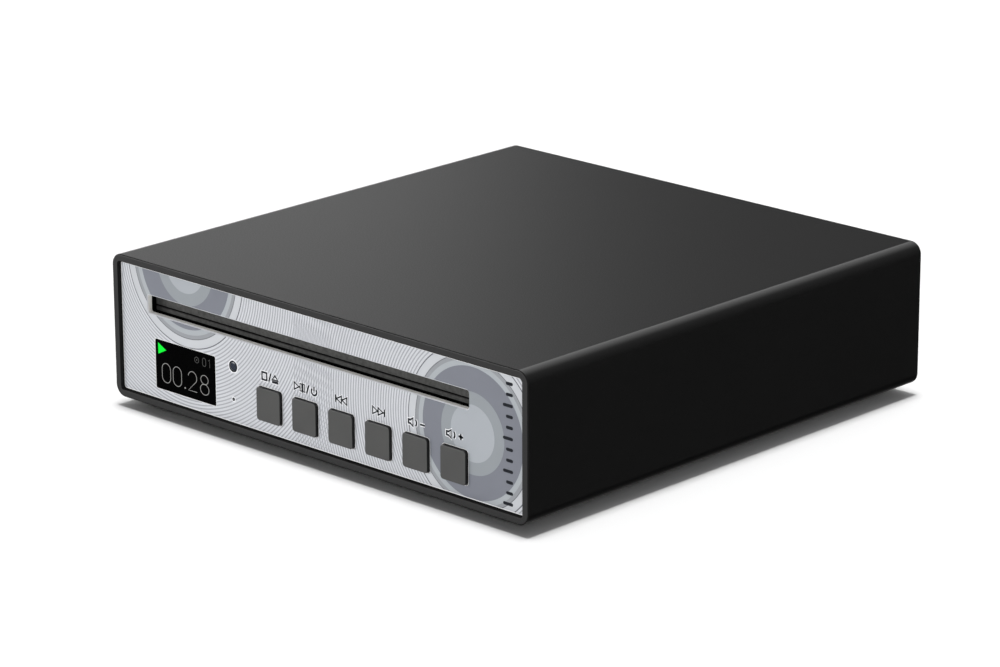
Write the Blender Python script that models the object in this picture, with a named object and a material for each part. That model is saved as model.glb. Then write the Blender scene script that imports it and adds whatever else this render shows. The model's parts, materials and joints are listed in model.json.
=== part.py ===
"""Compact desktop CD player with a slot-loading drive, built as separate pieces.

Metres, +Z up, front towards -Y, X to the right. The origin is under the middle of the
whole object, on the surface it stands on. Places inside the player are given from the
sleeve's front rim (y), its underside (z) and its middle (x); at() turns them into world
coordinates.
"""
import math

import bmesh
import bpy
from mathutils import Matrix, Vector

# ---------------------------------------------------------------- driving dimensions
GAP = 0.0003                # air between two pieces that touch

SLEEVE_W = 0.1620
SLEEVE_H = 0.0425
SLEEVE_D = 0.1636
SLEEVE_WALL = 0.0021
SLEEVE_CORNER_R = 0.0035
SLEEVE_INNER_R = 0.0011
SLEEVE_CHAMFER = 0.0003

FOOT_H = 0.0030
FOOT_R = 0.0060
FOOT_X = 0.0640
FOOT_Y = (0.0160, 0.1476)

PANEL_T = 0.0016
PANEL_RECESS = 0.00115
JACK_REACH = 0.0070         # audio sockets past the sleeve's rear rim

SLOT_W = 0.1262
SLOT_H = 0.00525
SLOT_R = 0.0008
SLOT_CHAMFER = 0.00025
FELT_DEPTH = 0.0039         # felt's face behind the panel's face
FELT_SEAM = (0.02809, 0.02856)    # a disc enters here
FELT_REACH = 0.0052         # from the slot's middle to a felt's far edge
SLOT_X = -0.00455
SLOT_Z = 0.02975

WINDOW_W = 0.0252
WINDOW_H = 0.0148
WINDOW_X = -0.0524
WINDOW_Z = 0.01278

BUTTON_W = 0.00935
BUTTON_H = 0.0096
BUTTON_R = 0.0008
BUTTON_X0 = -0.0177
BUTTON_PITCH = 0.01423
BUTTON_Z = 0.01073
BUTTON_PROUD = 0.00093
BUTTON_CLEAR = 0.00025
BUTTON_TRAVEL = 0.0005
BUTTON_NAMES = ("stop_eject", "play_power", "previous", "next", "volume_down", "volume_up")

IR_X = -0.0325
IR_Z = 0.01886
IR_R = 0.00145
PINHOLE_X = -0.0326
PINHOLE_Z = 0.00922
PINHOLE_R = 0.0004

SPINDLE_X = SLOT_X
SPINDLE_Y = 0.0760
DRIVE_W = 0.1360
DRIVE_FRONT = 0.0124
DRIVE_REAR = 0.1500
SHEET = 0.0010              # sheet metal of the drive and the tray
DRIVE_FLOOR_Z = 0.0150      # underside of the drive's floor
COVER_Z = 0.0332            # underside of the drive's cover

LIFT = 0.0026               # the pickup unit rises this far to take a disc
CAM_TRAVEL = 0.0120         # cam slider, for the whole lift
SLED_TRAVEL = 0.0330        # pickup, from the first track to the last
CLAMP_DROP = 0.0025          # from its open place down to a disc
CLAMPED_Z = 0.0290          # underside of the puck when it holds a disc

GEAR_MODULE = 0.0008
ROLLER_TEETH = 16
LOADING_TEETH = 28
PINION_TEETH = 10
ROLLER_Y = 0.0180
ROLLER_Z = 0.0234
GEAR_X = 0.0642
GEAR_T = 0.0030

FRONT_Y = -(SLEEVE_D + JACK_REACH) / 2
INNER_W = SLEEVE_W - 2 * SLEEVE_WALL
INNER_H = SLEEVE_H - 2 * SLEEVE_WALL
PANEL_W = INNER_W - 2 * GAP
PANEL_H = INNER_H - 2 * GAP
PANEL_BACK = PANEL_RECESS + PANEL_T
MID_Z = SLEEVE_H / 2
DRIVE_LEFT = SLOT_X - DRIVE_W / 2
DRIVE_RIGHT = SLOT_X + DRIVE_W / 2


def at(x, y, z):
    """World place from the sleeve's middle, front rim and underside."""
    return Vector((x, FRONT_Y + y, FOOT_H + z))


# ---------------------------------------------------------------- scene and materials
def clear_scene():
    for obj in list(bpy.data.objects):
        bpy.data.objects.remove(obj, do_unlink=True)


def make_material(name, colour, roughness, metallic=0.0):
    mat = bpy.data.materials.new(name)
    mat.use_nodes = True
    shader = mat.node_tree.nodes["Principled BSDF"]
    shader.inputs["Base Color"].default_value = (*colour, 1.0)
    shader.inputs["Roughness"].default_value = roughness
    shader.inputs["Metallic"].default_value = metallic
    mat.diffuse_color = (*colour, 1.0)
    return mat


clear_scene()
BLACK_ANODISED = make_material("black_anodised", (0.045, 0.045, 0.047), 0.5, 0.3)
SILVER_PAINT = make_material("silver_paint", (0.60, 0.61, 0.64), 0.4, 0.2)
BLACK_PLASTIC = make_material("black_plastic", (0.02, 0.02, 0.02), 0.5)
BUTTON_PLASTIC = make_material("button_plastic", (0.09, 0.09, 0.09), 0.45)
FELT = make_material("felt", (0.05, 0.05, 0.05), 0.95)
DARK_GLASS = make_material("dark_glass", (0.01, 0.01, 0.012), 0.08)
RUBBER = make_material("rubber", (0.03, 0.03, 0.03), 0.8)
STEEL = make_material("steel", (0.55, 0.55, 0.56), 0.35, 1.0)
ZINC_SHEET = make_material("zinc_sheet", (0.62, 0.63, 0.64), 0.4, 0.9)
BRASS = make_material("brass", (0.78, 0.62, 0.33), 0.3, 1.0)
CIRCUIT_BOARD = make_material("circuit_board", (0.02, 0.14, 0.07), 0.45)
GEAR_PLASTIC = make_material("gear_plastic", (0.80, 0.79, 0.74), 0.4)
LENS_GLASS = make_material("lens_glass", (0.25, 0.35, 0.55), 0.05)


# ---------------------------------------------------------------- shapes
def rounded_outline(width, height, radius, steps=5):
    """Points around a rounded rectangle about (0, 0), anticlockwise."""
    points = []
    corners = ((1, 1, 0), (-1, 1, 90), (-1, -1, 180), (1, -1, 270))
    for sign_u, sign_v, start in corners:
        for step in range(steps + 1):
            angle = math.radians(start + 90 * step / steps)
            u = sign_u * (width / 2 - radius) + radius * math.cos(angle)
            v = sign_v * (height / 2 - radius) + radius * math.sin(angle)
            points.append((u, v))
    return points


def loft(rings, close_ends=True):
    """Skin a list of equal rings of 3-D points; without ends the last joins the first."""
    bm = bmesh.new()
    rows = [[bm.verts.new(point) for point in ring] for ring in rings]
    count = len(rows[0])
    pairs = list(zip(rows, rows[1:]))
    if close_ends:
        bm.faces.new(rows[0])
        bm.faces.new(rows[-1])
    else:
        pairs.append((rows[-1], rows[0]))
    for low, high in pairs:
        for i in range(count):
            j = (i + 1) % count
            bm.faces.new((low[i], low[j], high[j], high[i]))
    bmesh.ops.recalc_face_normals(bm, faces=bm.faces)
    return bm


def box_shape(width, depth, height, centre=(0, 0, 0)):
    bm = bmesh.new()
    scale = Matrix.Diagonal((width, depth, height, 1.0))
    bmesh.ops.create_cube(bm, size=1.0, matrix=Matrix.Translation(centre) @ scale)
    return bm


def span_shape(x, y, z):
    """Box from (low, high) pairs."""
    size = [high - low for low, high in (x, y, z)]
    centre = [(high + low) / 2 for low, high in (x, y, z)]
    return box_shape(*size, centre)


def plate_shape(width, height, depth, radius, steps=5):
    """Rounded rectangle across X and Z, from y = 0 back to y = depth."""
    outline = rounded_outline(width, height, radius, steps)
    return loft([[(u, y, v) for u, v in outline] for y in (0.0, depth)])


def flare_shape(width, height, radius, chamfer):
    """Cutter that chamfers the front edge of a rounded-rectangle hole."""
    rings = []
    for y, grow in ((-chamfer, 2 * chamfer), (chamfer, 0.0)):
        outline = rounded_outline(width + 2 * grow, height + 2 * grow, radius + grow)
        rings.append([(u, y, v) for u, v in outline])
    return loft(rings)


def turned_shape(profile, segments, axis="Z"):
    """Turn (radius, height) points that start and end on the axis."""
    bm = bmesh.new()
    spots = {"X": lambda r, h, c, s: (h, r * c, r * s),
             "Y": lambda r, h, c, s: (r * s, h, r * c),
             "Z": lambda r, h, c, s: (r * c, r * s, h)}[axis]
    rows = []
    for radius, height in profile:
        if radius == 0.0:
            rows.append([bm.verts.new(spots(0.0, height, 1.0, 0.0))])
            continue
        angles = [2 * math.pi * i / segments for i in range(segments)]
        rows.append([bm.verts.new(spots(radius, height, math.cos(a), math.sin(a)))
                     for a in angles])
    for low, high in zip(rows, rows[1:]):
        for i in range(segments):
            j = (i + 1) % segments
            corners = [low[i % len(low)], low[j % len(low)],
                       high[j % len(high)], high[i % len(high)]]
            bm.faces.new(list(dict.fromkeys(corners)))
    bmesh.ops.recalc_face_normals(bm, faces=bm.faces)
    return bm


def rod_shape(radius, low, high, axis="Z", segments=16, chamfer=0.0):
    """Cylinder between two heights on its axis, with optional edge chamfers."""
    profile = [(0.0, low), (radius - chamfer, low)]
    if chamfer:
        profile += [(radius, low + chamfer), (radius, high - chamfer)]
    profile += [(radius - chamfer, high), (0.0, high)]
    return turned_shape(profile, segments, axis)


def gear_shape(teeth, phase=0.0):
    """Spur gear on the X axis from x = 0, with one tooth at angle phase (from +Y to +Z)."""
    pitch_r = teeth * GEAR_MODULE / 2
    root_r = pitch_r - 1.15 * GEAR_MODULE
    tip_r = pitch_r + 0.80 * GEAR_MODULE
    pitch = 2 * math.pi / teeth
    corners = ((root_r, -0.30), (tip_r, -0.13), (tip_r, 0.13), (root_r, 0.30))
    outline = []
    for tooth in range(teeth):
        for radius, offset in corners:
            angle = phase + pitch * (tooth + offset)
            outline.append((radius * math.cos(angle), radius * math.sin(angle)))
    return loft([[(x, y, z) for y, z in outline] for x in (0.0, GEAR_T)])


def stadium_shape(start, end, radius, x_low, x_high, steps=4):
    """Round-ended slot across Y and Z, from start to end, through X."""
    along = math.atan2(end[1] - start[1], end[0] - start[0])
    outline = []
    for centre, first in ((end, -90), (start, 90)):
        for step in range(steps + 1):
            angle = along + math.radians(first + 180 * step / steps)
            outline.append((centre[0] + radius * math.cos(angle),
                            centre[1] + radius * math.sin(angle)))
    return loft([[(x, y, z) for y, z in outline] for x in (x_low, x_high)])


# ---------------------------------------------------------------- objects
def add_object(name, shape, place, mat=None):
    mesh = bpy.data.meshes.new(name)
    shape.to_mesh(mesh)
    shape.free()
    obj = bpy.data.objects.new(name, mesh)
    obj.location = place
    bpy.context.scene.collection.objects.link(obj)
    if mat is not None:
        mesh.materials.append(mat)
        mesh.shade_smooth()
        mesh.set_sharp_from_angle(angle=math.radians(35))
    return obj


def add_tool(target, operation, shape, place):
    """Hidden shape that a Boolean on the target cuts away or adds."""
    tool = add_object(f"{target.name}_{operation.lower()}_{len(target.modifiers)}", shape, place)
    tool.hide_render = True
    tool.display_type = "WIRE"
    modifier = target.modifiers.new(tool.name, "BOOLEAN")
    modifier.operation = operation
    modifier.solver = "EXACT"
    modifier.object = tool
    return tool


def cut(target, shape, place):
    return add_tool(target, "DIFFERENCE", shape, place)


def join(target, shape, place):
    return add_tool(target, "UNION", shape, place)


# ---------------------------------------------------------------- enclosure
def make_sleeve():
    """Extruded black sleeve, open at both ends, with a fine chamfer around every rim."""
    def ring(width, height, radius, y):
        return [(u, y, v) for u, v in rounded_outline(width, height, radius, 6)]

    def outer(inset, y):
        return ring(SLEEVE_W - 2 * inset, SLEEVE_H - 2 * inset, SLEEVE_CORNER_R - inset, y)

    def inner(inset, y):
        return ring(INNER_W + 2 * inset, INNER_H + 2 * inset, SLEEVE_INNER_R + inset, y)

    edge = SLEEVE_CHAMFER
    rear = SLEEVE_D
    rings = [outer(edge, 0), outer(0, edge), outer(0, rear - edge), outer(edge, rear),
             inner(edge, rear), inner(0, rear - edge), inner(0, edge), inner(edge, 0)]
    add_object("enclosure_sleeve", loft(rings, close_ends=False), at(0, 0, MID_Z),
               BLACK_ANODISED)


def make_feet():
    top = FOOT_H - GAP
    profile = [(0.0, 0.0), (FOOT_R - 0.0006, 0.0), (FOOT_R, 0.0006), (FOOT_R, top), (0.0, top)]
    for side, x in (("left", -FOOT_X), ("right", FOOT_X)):
        for end, y in zip(("front", "rear"), FOOT_Y):
            add_object(f"foot_{end}_{side}", turned_shape(profile, 24), at(x, y, -FOOT_H),
                       RUBBER)


def button_x(index):
    return BUTTON_X0 + index * BUTTON_PITCH


def make_front_panel():
    """Silver front with the disc slot, the display window, six button holes and two bores."""
    panel = add_object("front_panel", plate_shape(PANEL_W, PANEL_H, PANEL_T, 0.0009),
                       at(0, PANEL_RECESS, MID_Z), SILVER_PAINT)
    deep = PANEL_T + 0.002
    y = PANEL_RECESS - 0.001
    cut(panel, plate_shape(SLOT_W, SLOT_H, deep, SLOT_R), at(SLOT_X, y, SLOT_Z))
    cut(panel, flare_shape(SLOT_W, SLOT_H, SLOT_R, SLOT_CHAMFER),
        at(SLOT_X, PANEL_RECESS, SLOT_Z))
    cut(panel, plate_shape(WINDOW_W, WINDOW_H, deep, 0.0006), at(WINDOW_X, y, WINDOW_Z))
    hole_w = BUTTON_W + 2 * BUTTON_CLEAR
    hole_h = BUTTON_H + 2 * BUTTON_CLEAR
    for index in range(len(BUTTON_NAMES)):
        cut(panel, plate_shape(hole_w, hole_h, deep, BUTTON_R + BUTTON_CLEAR, 3),
            at(button_x(index), y, BUTTON_Z))
    cut(panel, rod_shape(IR_R, 0, deep, "Y"), at(IR_X, y, IR_Z))
    cut(panel, rod_shape(PINHOLE_R, 0, deep, "Y", 12), at(PINHOLE_X, y, PINHOLE_Z))


def make_slot_parts():
    """Black frame behind the slot, with two felt strips that meet at the disc's height."""
    front = PANEL_BACK + GAP
    depth = 0.0050
    ledge = PANEL_RECESS + FELT_DEPTH - GAP - front
    frame = add_object("slot_frame", plate_shape(0.1330, 0.0130, depth, 0.0008),
                       at(SLOT_X, front, SLOT_Z), BLACK_PLASTIC)
    cut(frame, plate_shape(SLOT_W + 0.0008, SLOT_H + 0.0008, 0.004, SLOT_R),
        at(SLOT_X, front - 0.001, SLOT_Z))
    cut(frame, plate_shape(0.1306, 0.0110, depth, 0.0004), at(SLOT_X, front + ledge, SLOT_Z))
    felt_y = front + ledge + GAP
    seam_low, seam_high = FELT_SEAM
    for name, low, high in (("upper_dust_felt", seam_high, SLOT_Z + FELT_REACH),
                            ("lower_dust_felt", SLOT_Z - FELT_REACH, seam_low)):
        add_object(name, box_shape(0.1300, 0.0012, high - low, (0, 0.0006, 0)),
                   at(SLOT_X, felt_y, (low + high) / 2), FELT)


def make_display():
    add_object("display_window",
               plate_shape(WINDOW_W - 2 * GAP, WINDOW_H - 2 * GAP, 0.0016, 0.0004),
               at(WINDOW_X, PANEL_RECESS, WINDOW_Z), DARK_GLASS)
    add_object("display_module", plate_shape(0.0300, 0.0180, 0.0020, 0.0004),
               at(WINDOW_X, PANEL_BACK + GAP, WINDOW_Z), BLACK_PLASTIC)


def make_ir_parts():
    lens_r = IR_R - 0.0002
    add_object("ir_window", rod_shape(lens_r, 0, PANEL_T, "Y", 24, 0.0001),
               at(IR_X, PANEL_RECESS, IR_Z), DARK_GLASS)
    receiver = add_object("ir_receiver", box_shape(0.0050, 0.0028, 0.0058, (0, 0.0026, 0)),
                          at(IR_X, PANEL_BACK + GAP, IR_Z), BLACK_PLASTIC)
    join(receiver, rod_shape(0.0018, 0.0, 0.0030, "Y", 12), at(IR_X, PANEL_BACK + GAP, IR_Z))


def make_buttons():
    """Caps with a retaining flange and a stub that presses the switch behind."""
    cap_d = PANEL_BACK + GAP + 0.0004 - (PANEL_RECESS - BUTTON_PROUD)
    flange_y = PANEL_BACK + GAP
    stub_end = flange_y + 0.0018
    switch_y = stub_end + BUTTON_TRAVEL + 0.0001
    board_y = switch_y + 0.0040 + GAP
    for index, name in enumerate(BUTTON_NAMES):
        x = button_x(index)
        cap = add_object(f"button_{name}", plate_shape(BUTTON_W, BUTTON_H, cap_d, BUTTON_R, 3),
                         at(x, PANEL_RECESS - BUTTON_PROUD, BUTTON_Z), BUTTON_PLASTIC)
        join(cap, plate_shape(0.0114, 0.0116, 0.0008, 0.0010, 1), at(x, flange_y, BUTTON_Z))
        join(cap, rod_shape(0.0015, 0.0004, 0.0018, "Y", 10), at(x, flange_y, BUTTON_Z))
        switch = add_object(f"switch_{name}", box_shape(0.0060, 0.0034, 0.0060, (0, 0.0023, 0)),
                            at(x, switch_y, BUTTON_Z), BLACK_PLASTIC)
        join(switch, rod_shape(0.0017, 0.0, 0.0010, "Y", 10), at(x, switch_y, BUTTON_Z))
    add_object("button_board", span_shape((-0.049, 0.049), (0, 0.0016), (-0.0093, 0.0093)),
               at(0.0130, board_y, 0.0132), CIRCUIT_BOARD)


# ---------------------------------------------------------------- back and base
JACK_Z = 0.0145
USB_X = 0.0560
USB_Z = 0.0103
OPTICAL_X = 0.0340
HEADPHONE_X = -0.0560
HEADPHONE_Z = 0.0122
RCA_JACKS = (("coaxial_jack", 0.0140), ("rca_right_jack", -0.0140), ("rca_left_jack", -0.0300))
RCA_R = 0.00415
REAR_PANEL_Y = SLEEVE_D - PANEL_RECESS - PANEL_T
SCREW_X = 0.0725
SCREW_Z = (0.0075, 0.0350)
SCREW_R = 0.00145


def make_rear_panel():
    panel = add_object("rear_panel", plate_shape(PANEL_W, PANEL_H, PANEL_T, 0.0009),
                       at(0, REAR_PANEL_Y, MID_Z), BLACK_ANODISED)
    deep = PANEL_T + 0.002
    y = REAR_PANEL_Y - 0.001
    cut(panel, plate_shape(0.0098, 0.0040, deep, 0.0019), at(USB_X, y, USB_Z))
    cut(panel, plate_shape(0.0104, 0.0104, deep, 0.0005), at(OPTICAL_X, y, JACK_Z))
    for _, x in RCA_JACKS:
        cut(panel, rod_shape(RCA_R + GAP, 0, deep, "Y", 20), at(x, y, JACK_Z))
    cut(panel, rod_shape(0.0035, 0, deep, "Y", 20), at(HEADPHONE_X, y, HEADPHONE_Z))
    for x in (-SCREW_X, SCREW_X):
        for z in SCREW_Z:
            cut(panel, rod_shape(SCREW_R + GAP, 0, deep, "Y", 12), at(x, y, z))


def make_jacks():
    """Sockets on the main board's rear edge; their mouths show in the rear panel."""
    back = SLEEVE_D - PANEL_RECESS
    usb = add_object("usb_c_jack", plate_shape(0.0090, 0.0032, 0.0090, 0.0015),
                     at(USB_X, back - 0.0090, USB_Z), STEEL)
    cut(usb, plate_shape(0.0083, 0.0025, 0.0070, 0.0012), at(USB_X, back - 0.0062, USB_Z))
    join(usb, box_shape(0.0066, 0.0064, 0.0007, (0, 0.0032, 0)),
         at(USB_X, back - 0.0066, USB_Z))
    optical = add_object("optical_jack", plate_shape(0.0098, 0.0098, 0.0105, 0.0004),
                         at(OPTICAL_X, back - 0.0095, JACK_Z), BLACK_PLASTIC)
    cut(optical, plate_shape(0.0062, 0.0062, 0.0020, 0.0006),
        at(OPTICAL_X, back + 0.0003, JACK_Z))
    for name, x in RCA_JACKS:
        end = JACK_REACH + PANEL_RECESS
        profile = [(0.0, -0.0110), (RCA_R, -0.0110), (RCA_R, end - 0.0003),
                   (RCA_R - 0.0003, end), (0.0016, end), (0.0016, end - 0.0070),
                   (0.0, end - 0.0070)]
        jack = add_object(name, turned_shape(profile, 20, "Y"), at(x, back, JACK_Z), BRASS)
        join(jack, box_shape(0.0096, 0.0060, 0.0104, (0, -0.0058, 0)), at(x, back, JACK_Z))
    profile = [(0.0, -0.0100), (0.0032, -0.0100), (0.0032, 0.0004), (0.0029, 0.0007),
               (0.0018, 0.0007), (0.0018, -0.0080), (0.0, -0.0080)]
    headphone = add_object("headphone_jack", turned_shape(profile, 20, "Y"),
                           at(HEADPHONE_X, back, HEADPHONE_Z), BLACK_PLASTIC)
    join(headphone, box_shape(0.0066, 0.0060, 0.0066, (0, -0.0060, 0)),
         at(HEADPHONE_X, back, HEADPHONE_Z))


def make_rear_screws():
    """Pan-head screws through the rear panel into the tray's rear tabs."""
    head = GAP
    for side, x in (("left", -SCREW_X), ("right", SCREW_X)):
        for level, z in zip(("low", "high"), SCREW_Z):
            profile = [(0.0, -0.0048), (SCREW_R - 0.0003, -0.0048), (SCREW_R, -0.0044),
                       (SCREW_R, head), (0.0027, head), (0.0027, head + 0.0004),
                       (0.0019, head + 0.0009), (0.0, head + 0.0009)]
            add_object(f"rear_screw_{level}_{side}", turned_shape(profile, 12, "Y"),
                       at(x, SLEEVE_D - PANEL_RECESS, z), STEEL)


TRAY_Z = SLEEVE_WALL + GAP
BOARD_Z = 0.0067
BOARD_T = 0.0016
POSTS = ((DRIVE_LEFT + 0.0070, 0.0220), (DRIVE_RIGHT - 0.0070, 0.0220),
         (DRIVE_LEFT + 0.0070, 0.1420), (DRIVE_RIGHT - 0.0070, 0.1420))
STANDOFFS = ((-0.0600, 0.0400), (0.0600, 0.0400), (-0.0660, 0.1500), (0.0660, 0.1500))


def make_base_tray():
    """Sheet-metal tray: floor, two front tabs, two rear tabs, drive posts and standoffs."""
    top = TRAY_Z + SHEET
    tray = add_object("base_tray", span_shape((-0.0782, 0.0782), (0.0040, 0.1601), (0, SHEET)),
                      at(0, 0, TRAY_Z), ZINC_SHEET)
    for x in (-0.0755, 0.0755):
        join(tray, span_shape((-0.0025, 0.0025), (0, 0.0012), (0, 0.0340)),
             at(x, PANEL_BACK + GAP, TRAY_Z))
    for x in (-SCREW_X, SCREW_X):
        tab = REAR_PANEL_Y - GAP - 0.0012
        join(tray, span_shape((-0.0045, 0.0045), (0, 0.0012), (0, 0.0370)),
             at(x, tab, TRAY_Z))
        for z in SCREW_Z:
            cut(tray, rod_shape(SCREW_R + GAP, -0.001, 0.0030, "Y", 12), at(x, tab, z))
    for x, y in POSTS:
        join(tray, rod_shape(0.0030, 0, DRIVE_FLOOR_Z - GAP - TRAY_Z - 0.0002, "Z", 12),
             at(x, y, TRAY_Z + 0.0002))
    for x, y in STANDOFFS:
        join(tray, rod_shape(0.0025, 0, BOARD_Z - GAP - top + 0.0008, "Z", 12),
             at(x, y, top - 0.0008))


def make_main_board():
    """Circuit board under the drive, with its processor, converter and filter blocks."""
    board = add_object("main_board", span_shape((-0.0700, 0.0700), (0, 0.1220), (0, BOARD_T)),
                       at(0, 0.0340, BOARD_Z), CIRCUIT_BOARD)
    blocks = ((-0.0200, 0.0700, 0.0140, 0.0140, 0.0012), (0.0200, 0.0800, 0.0100, 0.0100, 0.0014),
              (0.0450, 0.1000, 0.0120, 0.0120, 0.0040), (-0.0450, 0.1100, 0.0160, 0.0120, 0.0020),
              (0.0000, 0.1150, 0.0220, 0.0140, 0.0025))
    for x, y, width, depth, height in blocks:
        join(board, box_shape(width, depth, height + 0.0006, (0, 0, height / 2 - 0.0003)),
             at(x, y, BOARD_Z + BOARD_T))
    for x, y in POSTS[2:]:
        cut(board, rod_shape(0.0036, -0.002, 0.004, "Z", 16), at(x, y, BOARD_Z))


# ---------------------------------------------------------------- disc drive
SPINDLE = (SPINDLE_X, SPINDLE_Y)
LIFT_PINS_Y = (0.0680, 0.1220)
LIFT_PIN_Z = 0.0205
LIFT_PIN_R = 0.0012
LOADING_Y = ROLLER_Y + GEAR_MODULE * (ROLLER_TEETH + LOADING_TEETH) / 2
PINION_Y = LOADING_Y + GEAR_MODULE * (LOADING_TEETH + PINION_TEETH) / 2
AXLE_R = 0.0015
AXLE_CLEAR = 0.00012
BRACKET_X = GEAR_X + GEAR_T + 0.0008
BRACKET_POSTS = ((PINION_Y + 0.0090, ROLLER_Z - 0.0050), (PINION_Y + 0.0090, ROLLER_Z + 0.0050))
WALL_TOP = COVER_Z - GAP


def make_drive_chassis():
    """Pan of the drive: floor, two sides and a rear wall, with the gear bracket."""
    floor = DRIVE_FLOOR_Z
    mid_y = (DRIVE_FRONT + DRIVE_REAR) / 2
    depth = DRIVE_REAR - DRIVE_FRONT
    height = WALL_TOP - floor
    pan = add_object("drive_chassis", box_shape(DRIVE_W, depth, height, (0, 0, height / 2)),
                     at(SLOT_X, mid_y, floor), ZINC_SHEET)
    cut(pan, span_shape((-DRIVE_W / 2 + SHEET, DRIVE_W / 2 - SHEET),
                        (-depth / 2 - 0.01, depth / 2 - SHEET), (SHEET, 0.04)),
        at(SLOT_X, mid_y, floor))
    reach = BRACKET_X - DRIVE_RIGHT + 0.0004
    join(pan, span_shape((0, SHEET), (-0.0050, 0.0280), (-0.0075, 0.0075)),
         at(BRACKET_X, LOADING_Y, ROLLER_Z))
    for y, z in ((LOADING_Y, ROLLER_Z), *BRACKET_POSTS):
        join(pan, rod_shape(AXLE_R, -0.0005, reach, "X"), at(DRIVE_RIGHT, y, z))
    cut(pan, rod_shape(0.0012, -0.001, 0.003, "X"), at(BRACKET_X, PINION_Y, ROLLER_Z))
    for x in (DRIVE_LEFT, DRIVE_RIGHT - SHEET):
        cut(pan, rod_shape(AXLE_R + AXLE_CLEAR, -0.001, 0.002, "X"), at(x, ROLLER_Y, ROLLER_Z))
        for y in LIFT_PINS_Y:
            slot = stadium_shape((0, 0), (0, LIFT), LIFT_PIN_R + GAP, -0.001, 0.002)
            cut(pan, slot, at(x, y, LIFT_PIN_Z))


PIVOT_Y = SPINDLE_Y + 0.0620
PIVOT_Z = 0.0376
PIVOT_R = 0.0015
EAR_X = 0.0140


def make_drive_cover():
    """Top plate of the drive, with the clamp's hole and two ears for its hinge pin."""
    mid_y = (DRIVE_FRONT + DRIVE_REAR) / 2
    depth = DRIVE_REAR - DRIVE_FRONT
    cover = add_object("drive_cover", box_shape(DRIVE_W, depth, SHEET, (0, 0, SHEET / 2)),
                       at(SLOT_X, mid_y, COVER_Z), ZINC_SHEET)
    cut(cover, rod_shape(0.0175, -0.001, 0.002, "Z", 28), at(*SPINDLE, COVER_Z))
    for side in (-1, 1):
        x = SLOT_X + side * (EAR_X + 0.0015)
        join(cover, box_shape(0.0030, 0.0064, 0.0056, (0, 0, 0.0028)),
             at(x, PIVOT_Y, COVER_Z + 0.0005))
        cut(cover, rod_shape(PIVOT_R + 0.0001, -0.003, 0.003, "X"), at(x, PIVOT_Y, PIVOT_Z))


def make_clamp():
    """Arm that drops the spinning puck onto a disc; it turns on a pin over the cover."""
    arm = add_object("clamp_arm", rod_shape(0.0023, -0.0120, 0.0120, "X"),
                     at(SLOT_X, PIVOT_Y, PIVOT_Z), ZINC_SHEET)
    reach = PIVOT_Y - SPINDLE_Y
    join(arm, box_shape(0.0180, reach - 0.0020, 0.0012, (0, -reach / 2, 0)),
         at(SLOT_X, PIVOT_Y, PIVOT_Z))
    join(arm, rod_shape(0.0110, -0.0008, 0.0008, "Z", 24), at(*SPINDLE, PIVOT_Z))
    cut(arm, rod_shape(0.0039, -0.002, 0.002, "Z", 16), at(*SPINDLE, PIVOT_Z))
    cut(arm, rod_shape(PIVOT_R + 0.0001, -0.0130, 0.0130, "X"), at(SLOT_X, PIVOT_Y, PIVOT_Z))
    add_object("clamp_pin", rod_shape(PIVOT_R, -0.0185, 0.0185, "X", 16, 0.0003),
               at(SLOT_X, PIVOT_Y, PIVOT_Z), STEEL)
    low = CLAMPED_Z + CLAMP_DROP - PIVOT_Z
    profile = [(0.0, low + 0.0024), (0.0078, low + 0.0024), (0.0084, low), (0.0136, low),
               (0.0140, low + 0.0004), (0.0140, low + 0.0021), (0.0135, low + 0.0024),
               (0.0085, low + 0.0032), (0.0034, low + 0.0032), (0.0034, 0.0009),
               (0.0062, 0.0009), (0.0062, 0.0017), (0.0, 0.0017)]
    add_object("clamp_puck", turned_shape(profile, 24), at(*SPINDLE, PIVOT_Z), BLACK_PLASTIC)


def make_cam_slider():
    """Side plate whose sloping slots lift the pickup unit as it slides to the front."""
    x = DRIVE_LEFT - 0.0018
    slider = add_object("cam_slider", span_shape((0, 0.0012), (-0.0080, 0.0720), (-0.0042, 0.0072)),
                        at(x, LIFT_PINS_Y[0], LIFT_PIN_Z), ZINC_SHEET)
    for y in LIFT_PINS_Y:
        slope = stadium_shape((0, 0), (CAM_TRAVEL, LIFT), LIFT_PIN_R + GAP, -0.001, 0.003)
        cut(slider, slope, at(x, y, LIFT_PIN_Z))


PLATE_Z = 0.0200
ROD_X = 0.0180
ROD_Z = 0.0190
ROD_FRONT = 0.0862
ROD_REAR = 0.1480
LENS_Y = SPINDLE_Y + 0.0250
SLED_WINDOW = (LENS_Y - 0.0130, LENS_Y + SLED_TRAVEL + 0.0115)
SCREW_AXIS_X = SPINDLE_X + 0.0280
SCREW_AXIS_Z = 0.0200


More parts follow.
